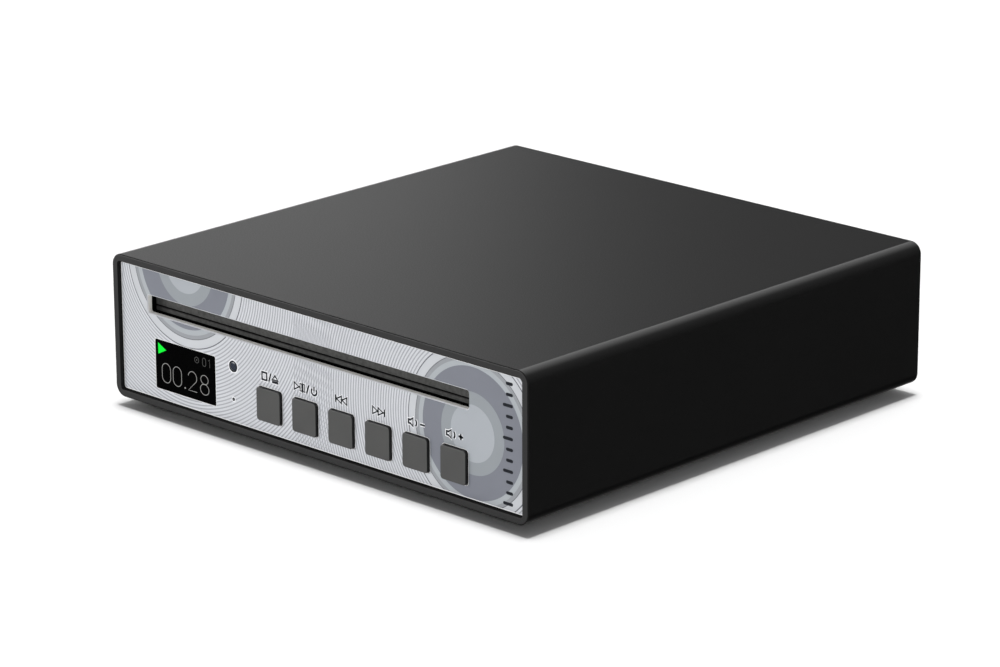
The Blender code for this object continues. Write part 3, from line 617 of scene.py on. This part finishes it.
def has_line(x, z, side):
    """True where a fine line of the left (0) or right (1) family shows."""
    if not on_panel(x, z):
        return False
    if side == 0 and x > LINES_SPLIT[1] or side == 1 and x < LINES_SPLIT[0]:
        return False
    return all(hypot(x - cx, z - cz) > RING_CLEARANCE for cx, cz in RING_CENTRES)


def arc_runs(centre, radius, inside):
    """Angle pairs of the stretches of a circle for which inside(x, z) is true."""
    def test(angle):
        return inside(*polar(centre, radius, angle))

    def edge(out_angle, in_angle):
        for _ in range(12):
            middle = (out_angle + in_angle) / 2
            if test(middle):
                in_angle = middle
            else:
                out_angle = middle
        return in_angle

    count = max(48, int(2 * pi * radius / LINE_STEP))
    angles = [2 * pi * i / count for i in range(count + 1)]
    flags = [test(angle) for angle in angles]
    runs, start = [], angles[0] if flags[0] else None
    for i in range(1, count + 1):
        if flags[i] and not flags[i - 1]:
            start = edge(angles[i - 1], angles[i])
        if flags[i - 1] and not flags[i]:
            runs.append((start, edge(angles[i], angles[i - 1])))
            start = None
    if start is not None:
        runs.append((start, angles[-1]))
    return [(a, b) for a, b in runs if (b - a) * radius > SHORTEST_LINE]


def line_width(x, side):
    """Full width away from the middle; each family thins out where the two cross."""
    start, end = LINES_SPLIT
    share = (x - start) / (end - start)
    if side == 0:
        share = 1 - share
    return LINE_WIDTH * (THINNEST + (1 - THINNEST) * min(max(share, 0.0), 1.0))


def arc_strip(bm, centre, radius, side, start, end, height):
    """Closed thin strip along an arc."""
    count = max(1, round((end - start) * radius / LINE_CHORD))
    rings = []
    for i in range(count + 1):
        angle = start + (end - start) * i / count
        half = line_width(polar(centre, radius, angle)[0], side) / 2
        rings.append([front_point(*polar(centre, radius + shift, angle), proud)
                      for shift, proud in ((-half, 0), (half, 0), (half, height),
                                           (-half, height))])
    skin_rings(bm, rings)


def make_fine_lines():
    """Two families of concentric hairlines that meet near the middle of the front."""
    bm = bmesh.new()
    half = PANEL_BOX[0]
    for side, centre in enumerate(RING_CENTRES):
        radius = FIRST_LINE_R
        reach = max(abs(centre[0] - LINES_SPLIT[1 - side]), half - abs(centre[0]))
        while radius < reach + LINE_REACH:
            for start, end in arc_runs(centre, radius, lambda x, z: has_line(x, z, side)):
                arc_strip(bm, centre, radius, side, start, end, (PRINT_T, RIGHT_LINES_T)[side])
            radius += LINE_PITCH
    add_print("print_fine_lines", bm, INK_LINE)


def prism(name, outlines, low, high):
    """Temporary object of upright prisms in millimetres: x, height above the panel, z."""
    bm = bmesh.new()
    for outline in outlines:
        skin_rings(bm, [[(x, proud, z) for x, z in outline] for proud in (low, high)])
    bmesh.ops.recalc_face_normals(bm, faces=bm.faces)
    return mesh_object(name, bm)


def rectangle(x, z, half_w, half_h, corner, steps=5):
    return [(x + u, z + v) for u, v in rounded_outline(2 * half_w, 2 * half_h, corner, steps)]


def make_rings():
    """Flat printed rings of both roundels, clipped by the panel's edge and its holes."""
    half, low, high = PANEL_BOX
    sheet = rectangle(0, (low + high) / 2, half, (high - low) / 2, 0.7)
    stencil = prism("stencil", [sheet], -5, 5)
    # a corner as large as the hole's half size would leave its outline with doubled points
    punch = prism("punch", [rectangle(*hole[:4], hole[4] - 0.001) for hole in HOLES],
                  -6, 6)
    boolean(stencil, punch, "DIFFERENCE")
    inner = 0.0
    for index, (outer, ink, colour) in enumerate(RINGS):
        made = bmesh.new()
        for centre in RING_CENTRES:
            ring = prism("ring", [circle(centre, outer)], 0.0, PRINT_T)
            boolean(ring, stencil, "INTERSECT")
            cores = [prism("core", [circle(centre, inner)], -1, 1)] if inner else []
            for core in cores:
                boolean(ring, core, "DIFFERENCE")
            made.from_mesh(applied(ring))
            remove(ring, *cores)
        for vert in made.verts:
            x, proud, z = vert.co
            vert.co = front_point(x, z, proud)
        add_print(f"print_ring_{index}", made, ink_and_painted_light(ink, colour))
        inner = outer
    remove(stencil, punch)


def stroke(bm, points, width, low, high, closed=False):
    """Closed ribbon of one width along a polyline with mitred corners."""
    count = len(points)
    rings = []
    for i, (x, z) in enumerate(points):
        before = points[i - 1] if (i or closed) else None
        after = points[(i + 1) % count] if (i < count - 1 or closed) else None
        normals = []
        for a, b in ((before, (x, z)), ((x, z), after)):
            if a and b:
                dx, dz = b[0] - a[0], b[1] - a[1]
                normals.append((-dz / hypot(dx, dz), dx / hypot(dx, dz)))
        nx = sum(n[0] for n in normals) / len(normals)
        nz = sum(n[1] for n in normals) / len(normals)
        scale = width / 2 / max(nx * nx + nz * nz, MITRE_LIMIT)
        dx, dz = nx * scale, nz * scale
        rings.append([front_point(x + sign * dx, z + sign * dz, proud)
                      for sign, proud in ((-1, low), (1, low), (1, high), (-1, high))])
    skin_rings(bm, rings, close_ends=not closed)


def arc_points(x, z, radius_x, radius_z, start, end, steps=12):
    """Points along part of an ellipse, between two angles in degrees."""
    angles = [radians(start + (end - start) * i / steps) for i in range(steps + 1)]
    return [(x + radius_x * cos(a), z + radius_z * sin(a)) for a in angles]


def icon_strokes(name, x, z):
    """Polylines (points, closed, line width) of a button's symbol, millimetres."""
    h = 1.05
    bold, thin = 0.57, 0.34

    def line(dx, points, closed=False, width=bold):
        return ([(x + dx + u, z + v) for u, v in points], closed, width)

    def slash(dx):
        return line(dx, [(-0.42, -1.25), (0.42, 1.25)])

    def upright(dx, low=-h, high=h):
        return line(dx, [(0, low), (0, high)])

    def triangle(dx, flip=1):
        return line(dx, [(-0.95 * flip, -h), (0.95 * flip, 0), (-0.95 * flip, h)], True)

    def box(dx, half_w, low, high, width=thin):
        corners = [(-half_w, low), (half_w, low), (half_w, high), (-half_w, high)]
        return line(dx, corners, True, width)

    def speaker(dx):
        return line(dx, [(-1.1, -0.5), (-0.4, -0.5), (0.55, -1.15), (0.55, 1.15),
                         (-0.4, 0.5), (-1.1, 0.5)], True)

    if name == "stop_eject":
        eject = [(-1.1, -0.25), (0, 1.05), (1.1, -0.25)]
        return [box(-2.15, 0.945, -h, h, bold), slash(0.05), line(2.15, eject, True),
                box(2.15, 1.1, -1.12, -0.72)]
    if name == "play_power":
        power = arc_points(0, -0.08, 1.05, 1.05, 140, 400, 18)
        return [triangle(-3.5), box(-1.80, 0.36, -h, h), box(-0.66, 0.36, -h, h), slash(0.85),
                line(3.35, power), upright(3.35, 0.05, 1.30)]
    if name == "previous":
        return [upright(-2.4), triangle(-1.15, -1), triangle(0.95, -1)]
    if name == "next":
        return [triangle(-1.45), triangle(0.65), upright(2.15)]
    wave = arc_points(0, 0, 1.0, 1.15, -50, 50, 8)
    sign = [line(2.2, [(-0.85, 0), (0.85, 0)])]
    if name == "volume_up":
        sign.append(upright(2.2, -0.85, 0.85))
    return [speaker(-1.9), line(-1.0, wave)] + sign


def make_button_labels():
    """Outline symbols above the buttons, each with a pale halo around its strokes."""
    halo_spread = 0.45
    halo = bmesh.new()
    ink = bmesh.new()
    for name in BUTTONS:
        x = flat_spot("button_" + name)[0]
        for points, closed, width in icon_strokes(name, x, LABEL_Z):
            stroke(halo, points, width + halo_spread, 0.0, HALO_T, closed)
            stroke(ink, points, width, 0.0, LABEL_T, closed)
    add_print("print_label_halo", halo, PALE_HALO_AND_HIGHLIGHT)
    add_print("print_labels", ink, NAVY_INK_AND_SHADE)


def make_hole_glints():
    """Painted highlights: bright hairlines along the panel's edge and round its holes."""
    bm = bmesh.new()
    overlap, hairline = 0.02, 0.11
    for x, z, half_w, half_h, corner in HOLES[1:]:
        if corner < half_w:
            outline = rectangle(x, z, half_w - overlap, half_h - overlap, corner)
            stroke(bm, outline, hairline, 0.0, GLINT_T, True)
    half, low, high = PANEL_BOX
    inset, border = 0.11, 0.2
    outline = rectangle(0, (low + high) / 2, half - inset, (high - low) / 2 - inset, 0.6)
    stroke(bm, outline, border, 0.0, GLINT_T, True)
    add_print("painted_hole_glints", bm, PAINTED_GLINT)


def make_hole_shade_rings():
    """Painted shade and highlight round each small round hole: a dark ring with a pale halo round
    it.
    """
    halo = bmesh.new()
    ink = bmesh.new()
    # where it is, then the radii at which both begin, the ring ends and the halo ends
    for centre, inner, outer, reach in ((flat_spot("ir_window"), 1.26, 1.68, 1.98),
                                        (PINHOLE, 0.34, 0.52, 0.80)):
        for bm, end, height in ((halo, reach, HALO_T), (ink, outer, BAR_T)):
            stroke(bm, circle(centre, (inner + end) / 2, 48), end - inner, 0.0, height, True)
    add_print("painted_hole_halos", halo, PALE_HALO_AND_HIGHLIGHT)
    add_print("painted_hole_shade_rings", ink, NAVY_INK_AND_SHADE)


def make_pinhole_shade():
    """Black reset button just behind the small hole's mouth, black as painted shade of the hole's
    depth.
    """
    rim, depth = 0.00037, 0.0014
    profile = [(0.0, 0.00002), (0.00032, 0.00003), (rim, 0.00008), (rim, depth), (0.0, depth)]
    turned_piece("pinhole_shade_plug", front_point(*PINHOLE), profile, NAVY_INK_AND_SHADE, segments=24)


def make_level_ornament():
    """Plain column of bars up the right edge, like a level scale."""
    bm = bmesh.new()
    right, low, high, count = 74.6, 4.4, 37.6, 12
    pitch = (high - low) / (count - 1)
    for i in range(count):
        length = 3.6 if i % 3 == 0 else 2.5
        slab(bm, rectangle(right - length / 2, low + i * pitch, length / 2, 0.45, 0.44, 4),
             0.0, BAR_T)
    add_print("print_level_bars", bm, NAVY_INK_AND_SHADE)


# ---------- display
def digit_strokes(digit, x, z, width, height):
    """Polylines (points, closed) of a thin numeral; x, z is its lower left corner."""
    half = width / 2
    cx = x + half
    if digit == "0":
        top = arc_points(cx, z + height - half, half, half, 0, 180, 14)
        bottom = arc_points(cx, z + half, half, half, 180, 360, 14)
        return [(top + bottom, True)]
    if digit == "1":
        stem = x + width * 0.65
        return [([(x + width * 0.25, z + height * 0.8), (stem, z + height), (stem, z)], False)]
    if digit == "2":
        top = arc_points(cx, z + height - half, half, half, 170, -35, 14)
        return [(top + [(x, z), (x + width, z)], False)]
    upper, lower = height * 0.23, height * 0.27     # radii of the two loops of an 8
    return [(arc_points(cx, z + height - upper, half * 0.86, upper, 0, 345, 22), True),
            (arc_points(cx, z + lower, half, lower, 0, 345, 22), True)]


def write_digits(bm, places, z, width, height):
    for digit, x in places:
        for points, closed in digit_strokes(digit, x, z, width, height):
            stroke(bm, points, LIT_STROKE, *LIT, closed)


def make_display():
    """Gloss window with a lit play mark, a track number and the elapsed time."""
    low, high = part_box("display_window")
    glass = bmesh.new()
    profile = fillet(low.y + 0.00002, 0.00015, 1.0) + [(high.y, 0.0)]
    skin_rings(glass, plate_rings(node_centre("display_window"), 0.02508, 0.01468, 0.00035,
                                  profile, 5))
    add_piece("display_glass", glass, MATS["dark_glass"], "display_window")
    play = bmesh.new()
    slab(play, [(-63.7, 15.75), (-60.35, 17.42), (-63.7, 19.1)], *LIT)
    add_print("display_play_mark", play, glow("lit_green", (0.0, 0.95, 0.04), 1.1))
    time = bmesh.new()
    write_digits(time, (("0", -62.3), ("0", -57.7), ("2", -51.35), ("8", -46.35)), 7.75, 3.55,
                 5.75)
    slab(time, circle((-52.75, 8.0), 0.26, 16), *LIT)
    add_print("display_time", time, glow("lit_grey", (0.40, 0.40, 0.39), 0.9))
    track = bmesh.new()
    write_digits(track, (("0", -45.2), ("1", -43.1)), 16.2, 1.35, 2.4)
    disc = (-47.6, 17.4)
    stroke(track, arc_points(*disc, 0.85, 0.85, 0, 345, 20), LIT_STROKE, *LIT, True)
    slab(track, circle(disc, 0.22, 14), *LIT)
    add_print("display_track", track, glow("lit_dim", (0.085, 0.085, 0.083), 0.9))


# ---------- enclosure and front
def make_sleeve():
    """Extruded sleeve with round corners and finely broken rims."""
    bm = bmesh.new()
    front, rear = SLEEVE_LOW.y, SLEEVE_HIGH.y
    centre = Vector((0, 0, SLEEVE_MID))
    inner_w = SLEEVE_W - 2 * SLEEVE_WALL
    inner_h = SLEEVE_H - 2 * SLEEVE_WALL

    def ends(size):
        return fillet(front, size, 1.0) + list(reversed(fillet(rear, size, -1.0)))

    rings = plate_rings(centre, SLEEVE_W, SLEEVE_H, SLEEVE_CORNER_R, ends(SLEEVE_EDGE), 16)
    inner = [(y, -inset) for y, inset in ends(SLEEVE_LIP)]
    rings += reversed(plate_rings(centre, inner_w, inner_h, SLEEVE_INNER_R, inner, 16))
    skin_rings(bm, rings, close_ends=False)
    shell = add_piece("sleeve_shell", bm, MATS["black_anodised"], "enclosure_sleeve").data
    # the inner walls and the front rim's rounded edge take the painted shade
    shell.materials.append(SLEEVE_SHADE)
    for face in shell.polygons:
        reach_x = abs(face.center.x) - inner_w / 2
        reach_z = abs(face.center.z - SLEEVE_MID) - inner_h / 2
        inside = max(reach_x, reach_z) < EASE / 2
        broken_edge = face.center.y < front + SLEEVE_EDGE and face.normal.y > -0.98
        if inside or broken_edge:
            face.material_index = 1


def make_button_caps():
    """Caps with softened edges, each on its retaining flange and plunger."""
    flange_y = PANEL_HIGH.y + 0.0003
    stem_y = flange_y + 0.0008
    for name in BUTTONS:
        node = "button_" + name
        low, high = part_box(node)
        bm = bmesh.new()
        rings = []
        for width, height, radius, profile in (
                (0.00935, 0.0096, 0.00095, fillet(low.y, 0.00016, 1.0) + [(flange_y, 0.0)]),
                (0.0114, 0.0116, 0.0010, ((flange_y, 0.0), (stem_y, 0.0))),
                (0.0030, 0.0030, 0.00149, ((stem_y, 0.0), (high.y, 0.0)))):
            rings += plate_rings(node_centre(node), width, height, radius, profile)
        skin_rings(bm, rings)
        add_piece("cap_" + name, bm, MATS["button_plastic"], node, body=node)


def make_felts():
    """Felt strips with a slightly uneven nap and a soft lip along the seam."""
    for node, seam_above in (("upper_dust_felt", False), ("lower_dust_felt", True)):
        low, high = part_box(node)
        seam_z, far_z = (high.z, low.z) if seam_above else (low.z, high.z)
        bm = bmesh.new()
        grid = []
        for share in reversed(FELT_ROWS) if seam_above else FELT_ROWS:
            z = seam_z + (far_z - seam_z) * share
            roll = SEAM_ROLL * max(0.0, 1 - share / SEAM_SHARE)
            row = []
            for i in range(FELT_COLUMNS + 1):
                x = low.x + (high.x - low.x) * i / FELT_COLUMNS
                nap = FELT_NAP * noise.noise(Vector((x * NAP_SCALE, z * NAP_SCALE, 0.3)))
                row.append(bm.verts.new((x, low.y + FELT_SINK + nap + roll, z)))
            grid.append(row)
        back = [[bm.verts.new((x, high.y, z)) for x in (low.x, high.x)] for z in (low.z, high.z)]
        for lower, upper in zip(grid, grid[1:]):
            for i in range(FELT_COLUMNS):
                bm.faces.new((lower[i], lower[i + 1], upper[i + 1], upper[i]))
        for row, (left, right) in zip((grid[0], grid[-1]), back):
            bm.faces.new(row + [right, left])
        for side in (0, 1):
            bm.faces.new([row[-side] for row in grid] + [back[1][side], back[0][side]])
        bm.faces.new((*back[0], *reversed(back[1])))
        add_piece(node.replace("dust_", "") + "_strip", bm, MATS["felt"], node)


def make_shade_bar(name, low_z, high_z, profile):
    """Near-black bar of painted shade along the slot between two heights."""
    low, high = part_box("lower_dust_felt")
    middle = Vector(((low.x + high.x) / 2, 0, (low_z + high_z) / 2))
    width = high.x - low.x - 0.0002
    bm = bmesh.new()
    skin_rings(bm, plate_rings(middle, width, high_z - low_z, 0.0001, profile, 3))
    add_piece(name, bm, SLOT_BLACK_AND_SHADE)


def make_slot_shade_strips():
    """Painted shade in the slot: a dark strip behind the seam between the felts, and one along the
    lower felt's foot.

    Both stay out of a disc's way.
    """
    low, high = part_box("lower_dust_felt")
    seam_strip_y = low.y + 0.0003
    foot_strip_y = low.y - 0.00025
    foot_strip_top = SLEEVE_LOW.z + 0.02697
    clearance = 0.00002
    make_shade_bar("seam_shade_strip", high.z + clearance,
                  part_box("upper_dust_felt")[0].z - clearance,
                  ((seam_strip_y, 0.00008), (seam_strip_y + 0.0002, 0.0), (seam_strip_y + 0.0006, 0.0)))
    make_shade_bar("felt_foot_shade_strip", low.z + 0.0001, foot_strip_top,
                  ((foot_strip_y, 0.00005), (foot_strip_y + 0.00005, 0.0), (foot_strip_y + 0.0002, 0.0)))


def make_ir_lens():
    """Domed infrared window, flush with the panel."""
    low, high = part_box("ir_window")
    radius = (high.x - low.x) / 2
    depth = high.y - low.y
    profile = [(0.0, -0.00004), (radius * 0.5, -0.00003), (radius * 0.9, 0.00002),
               (radius, 0.00010), (radius, depth), (0.0, depth)]
    slate = surface("ir_slate", (0.030, 0.036, 0.050), 0.18, grain=0.001, bump=0.0006)
    turned_piece("ir_lens", centre_at("ir_window", low.y), profile, slate, "ir_window")


# ---------- back and underside
def quarter(radius, start, *degrees):
    """(radius sin, start cos) pairs of a rounded edge at the given angles."""
    return [(radius * sin(radians(a)), start * cos(radians(a)))
            for a in degrees]


def make_feet():
    """Rubber feet with a rounded tread edge and a moulded recess underneath."""
    tread = 0.0008
    for node in (f"foot_{end}_{side}" for end in ("front", "rear") for side in ("left", "right")):
        low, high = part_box(node)
        centre = node_centre(node)
        centre.z = low.z
        r = (high.x - low.x) / 2
        h = high.z - low.z
        profile = [(0.0, 0.0007), (0.0020, 0.0007), (0.0024, 0.0), (0.0036, 0.0),
                   (0.0038, 0.0003), (0.0041, 0.0003), (0.0043, 0.0), (r - tread, 0.0)]
        profile += [(r - tread + u, tread - v) for u, v in quarter(tread, tread, 30, 60, 90)]
        profile += [(r, h - 0.0002), (r - 0.0002, h), (0.0, h)]
        turned_piece("rubber_" + node, centre, profile, MATS["rubber"], node, 56, "Z")


def make_audio_sockets():
    """Plated phono sockets: flange, collar, barrel, and an insulator with a centre bore."""
    r = 0.00415
    for node, ink in (("rca_left_jack", INK_WHITE), ("rca_right_jack", INK_RED),
                      ("coaxial_jack", surface("ink_orange", (0.75, 0.25, 0.03), 0.4))):
        centre = centre_at(node, REAR_FACE)
        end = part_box(node)[1].y - REAR_FACE
        name = node.replace("_jack", "_")
        profile = [(0.0, -0.0110), (r, -0.0110), (r, 0.0030), (r - 0.0002, 0.0032),
                   (r - 0.0002, end - 0.0005), (r - 0.0005, end - 0.0001),
                   (r - 0.0009, end - 0.0001), (r - 0.0010, end - 0.0004),
                   (r - 0.0010, end - 0.0014), (0.0, end - 0.0014)]
        turned_piece(name + "barrel", centre, profile, MATS["brass"], node)
        core = [(0.0, end - 0.0013), (r - 0.0011, end - 0.0013), (r - 0.0011, end - 0.0007),
                (0.0019, end - 0.0005), (0.0016, end - 0.0006), (0.0016, end - 0.0060),
                (0.0, end - 0.0060)]
        turned_piece(name + "insulator", centre, core, ink, segments=40)
        washer = bmesh.new()
        hoop(washer, centre, ((0.0055, 0.00002), (0.0055, 0.0002), (r + 0.00002, 0.0002),
                              (r + 0.00002, 0.00002)), 48)
        add_piece(name + "washer", washer, MATS["brass"])


def make_headphone_socket():
    """Collar of the headphone socket and the contact ring in its bore."""
    centre = centre_at("headphone_jack", REAR_FACE)
    profile = [(0.0, -0.0100), (0.0032, -0.0100), (0.0032, 0.0003), (0.0029, 0.0006),
               (0.0024, 0.0007), (0.0020, 0.0005), (0.0018, 0.0002), (0.0018, -0.0080),
               (0.0, -0.0080)]
    turned_piece("headphone_collar", centre, profile, MATS["black_plastic"], "headphone_jack")
    ring = bmesh.new()
    hoop(ring, centre, ((0.00178, -0.0006), (0.00178, -0.0030), (0.00165, -0.0030),
                        (0.00165, -0.0006)), 40)
    add_piece("headphone_contact", ring, MATS["steel"])


def make_optical_socket():
    """Square optical socket with a closed dust shutter."""
    centre = node_centre("optical_jack")
    low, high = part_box("optical_jack")
    face = high.y
    bm = bmesh.new()
    rings = plate_rings(centre, 0.0098, 0.0098, 0.0005,
                        ((low.y, 0.0), (face - 0.0002, 0.0), (face, 0.0002)), 5)
    rings += plate_rings(centre, 0.0070, 0.0070, 0.0009, ((face, 0.0), (face - 0.0007, 0.0)), 5)
    skin_rings(bm, rings)
    add_piece("optical_housing", bm, MATS["black_plastic"], "optical_jack")
    shutter = bmesh.new()
    profile = ((face - 0.00065, 0.0), (face - 0.0004, 0.0), (face - 0.0003, 0.0001))
    skin_rings(shutter, plate_rings(centre, 0.0064, 0.0064, 0.0007, profile, 5))
    add_piece("optical_shutter", shutter,
              surface("shutter_grey", (0.07, 0.07, 0.075), 0.35, grain=0.0005, bump=0.002))


def make_rear_screws():
    """Pan-head screws with a cross recess."""
    head, shank, rim = 0.0027, 0.00145, 0.0003
    for node in (f"rear_screw_{level}_{side}" for level in ("low", "high")
                 for side in ("left", "right")):
        centre = centre_at(node, REAR_FACE + 0.0003)
        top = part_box(node)[1].y - centre.y
        profile = [(0.0, top)]
        profile += [(u, rim + v) for u, v in quarter(head, top - rim, 15, 30, 45, 60, 75, 90)]
        profile += [(head, 0.0), (shank, 0.0), (shank, -0.0046), (0.0011, -0.0050),
                    (0.0, -0.0050)]
        screw = turned_piece("head_" + node, centre, profile, MATS["steel"], node, 40)
        for degrees in (45, 135):
            matrix = (Matrix.Translation(centre + Vector((0, top, 0)))
                      @ Euler((0, radians(degrees), 0)).to_matrix().to_4x4()
                      @ Matrix.Diagonal((0.0026, 0.0010, 0.00055, 1.0)))
            bm = bmesh.new()
            bmesh.ops.create_cube(bm, size=1.0, matrix=matrix)
            tool = mesh_object("recess", bm)
            boolean(screw, tool, "DIFFERENCE")
            cut = applied(screw)
            screw.modifiers.clear()
            screw.data = cut
            remove(tool)


def make_rear_print():
    """Thin white rings and arrows around the rear sockets, with no lettering."""
    bm = bmesh.new()
    for node, radius in (("rca_left_jack", 6.6), ("rca_right_jack", 6.6), ("coaxial_jack", 6.6),
                         ("headphone_jack", 4.8)):
        small, large = (radius - 0.15) * MM, (radius + 0.15) * MM
        hoop(bm, centre_at(node, REAR_FACE), ((small, 0.0), (large, 0.0), (large, GLINT_T * MM),
                                              (small, GLINT_T * MM)), 64)
    # arrows: how far above the socket, and which way they point, for in (-1) or out (1)
    for node, lift, tip in (("optical_jack", 7.6, -1), ("usb_c_jack", 7.6, -1),
                            ("rca_left_jack", 9.4, 1), ("rca_right_jack", 9.4, 1),
                            ("coaxial_jack", 9.4, 1), ("headphone_jack", 9.4, 1)):
        x, z = flat_spot(node)
        z, rise = z + lift, 0.9 * tip
        slab(bm, [(x - 1.1, z - rise), (x + 1.1, z - rise), (x, z + rise)], 0.0, GLINT_T,
             rear_point)
    add_print("print_rear_marks", bm, INK_WHITE)


# ---------- carried-over nodes
def dress_nodes():
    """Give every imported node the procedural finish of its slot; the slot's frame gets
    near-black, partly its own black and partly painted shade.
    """
    for name, obj in frame["nodes"].items():
        obj.data.materials.clear()
        obj.data.materials.append(SLOT_BLACK_AND_SHADE if name == "slot_frame" else MATS[SLOT_OF[name]])


# ---------- stage, lights and camera
def make_stage():
    """White floor that the player's gloss doesn't show."""
    bm = bmesh.new()
    bmesh.ops.create_grid(bm, x_segments=1, y_segments=1, size=FLOOR_SIZE,
                          matrix=Matrix.Translation((0, 0, -FLOOR_DROP)))
    floor = mesh_object("studio_floor", bm)
    mat, tree = new_material("floor_white")
    tree.set(Base_Color=(*grey(0.93), 1), Roughness=0.9, Specular_IOR_Level=0.0)
    floor.data.materials.append(mat)
    floor.visible_glossy = False


def make_world():
    """Soft surroundings in bands of grey from below to above, white where the camera looks."""
    world = bpy.data.worlds.new("studio")
    world.use_nodes = True
    tree = Tree(world)
    coords = tree.add("TexCoord")
    split = tree.add("SeparateXYZ")
    tree.link(coords.outputs["Generated"], split.inputs["Vector"])
    ramp = tree.add("ValToRGB")
    tree.link(tree.ramp(split.outputs["Z"], 0.0, 1.0, -1.0, 1.0), ramp.inputs["Fac"])
    stops = ramp.color_ramp.elements
    for index, (place, tone) in enumerate(WORLD_TONES):
        stop = stops[index] if index < 2 else stops.new(place)
        stop.position = place
        stop.color = (*grey(tone), 1)
    backdrop = tree.add("LightPath").outputs["Is Camera Ray"]
    tone = tree.mix(backdrop, ramp.outputs["Color"], grey(1.0))
    tree.link(tone, tree.nodes["Background"].inputs["Color"])
    bpy.context.scene.world = world


def add_light(name, kind, place, aim_z, energy, **extra):
    """Add a light that points at a height above the middle of the floor."""
    light = bpy.data.lights.new(name, kind)
    light.energy = energy
    for key, value in extra.items():
        setattr(light, key, value)
    obj = bpy.data.objects.new(name, light)
    obj.location = place
    aim = Vector((0, 0, aim_z)) - Vector(place)
    obj.rotation_euler = aim.to_track_quat("-Z", "Y").to_euler()
    bpy.context.scene.collection.objects.link(obj)
    return obj


def make_lights():
    """Return the lights of the floor alone and those of the player alone."""
    suns = [add_light(name, "SUN", place, 0, strength, angle=radians(angle))
            for name, place, strength, angle in SUNS]
    areas = [add_light(name, "AREA", place, aim_z, watts, shape="RECTANGLE", size=width,
                       size_y=height)
             for name, place, aim_z, watts, width, height in AREAS]
    return suns[1:], areas


def sort_lights(floor_lights, player_lights):
    """Light the floor and the player apart, as in a composed studio picture."""
    player = bpy.data.collections.new("player_parts")
    ground = bpy.data.collections.new("studio_parts")
    for obj in bpy.context.scene.objects:
        if obj.type == "MESH":
            (ground if obj.name == "studio_floor" else player).objects.link(obj)
    for lights, receivers in ((player_lights, player), (floor_lights, ground)):
        for light in lights:
            light.light_linking.receiver_collection = receivers


def make_camera():
    """Long lens at the viewing angle of a product shot from the front right, above."""
    azimuth, elevation, roll = (radians(a) for a in CAMERA_ANGLES)
    forward = Vector((-sin(azimuth) * cos(elevation),
                      cos(azimuth) * cos(elevation), -sin(elevation)))
    right = Vector((cos(azimuth), sin(azimuth), 0.0))
    up = right.cross(forward)
    rolled_right = cos(roll) * right + sin(roll) * up
    rolled_up = -sin(roll) * right + cos(roll) * up
    data = bpy.data.cameras.new("camera")
    data.lens = CAMERA_LENS
    data.sensor_width = 36.0
    data.clip_start = 0.05
    data.clip_end = 30.0
    camera = bpy.data.objects.new("camera", data)
    camera.location = SLEEVE_LOW + Vector(CAMERA_OFFSET) * SLEEVE_W
    camera.rotation_euler = Matrix((rolled_right, rolled_up, -forward)).transposed().to_euler()
    bpy.context.scene.collection.objects.link(camera)
    bpy.context.scene.camera = camera


make_camera()
make_stage()
make_world()
studio_lights = make_lights()
bpy.context.scene.view_settings.view_transform = "Standard"
dress_nodes()
make_sleeve()
make_button_caps()
make_felts()
make_slot_shade_strips()
make_ir_lens()
make_rings()
make_fine_lines()
make_button_labels()
make_hole_glints()
make_hole_shade_rings()
make_pinhole_shade()
make_level_ornament()
make_display()
make_feet()
make_audio_sockets()
make_headphone_socket()
make_optical_socket()
make_rear_screws()
make_rear_print()
sort_lights(*studio_lights)
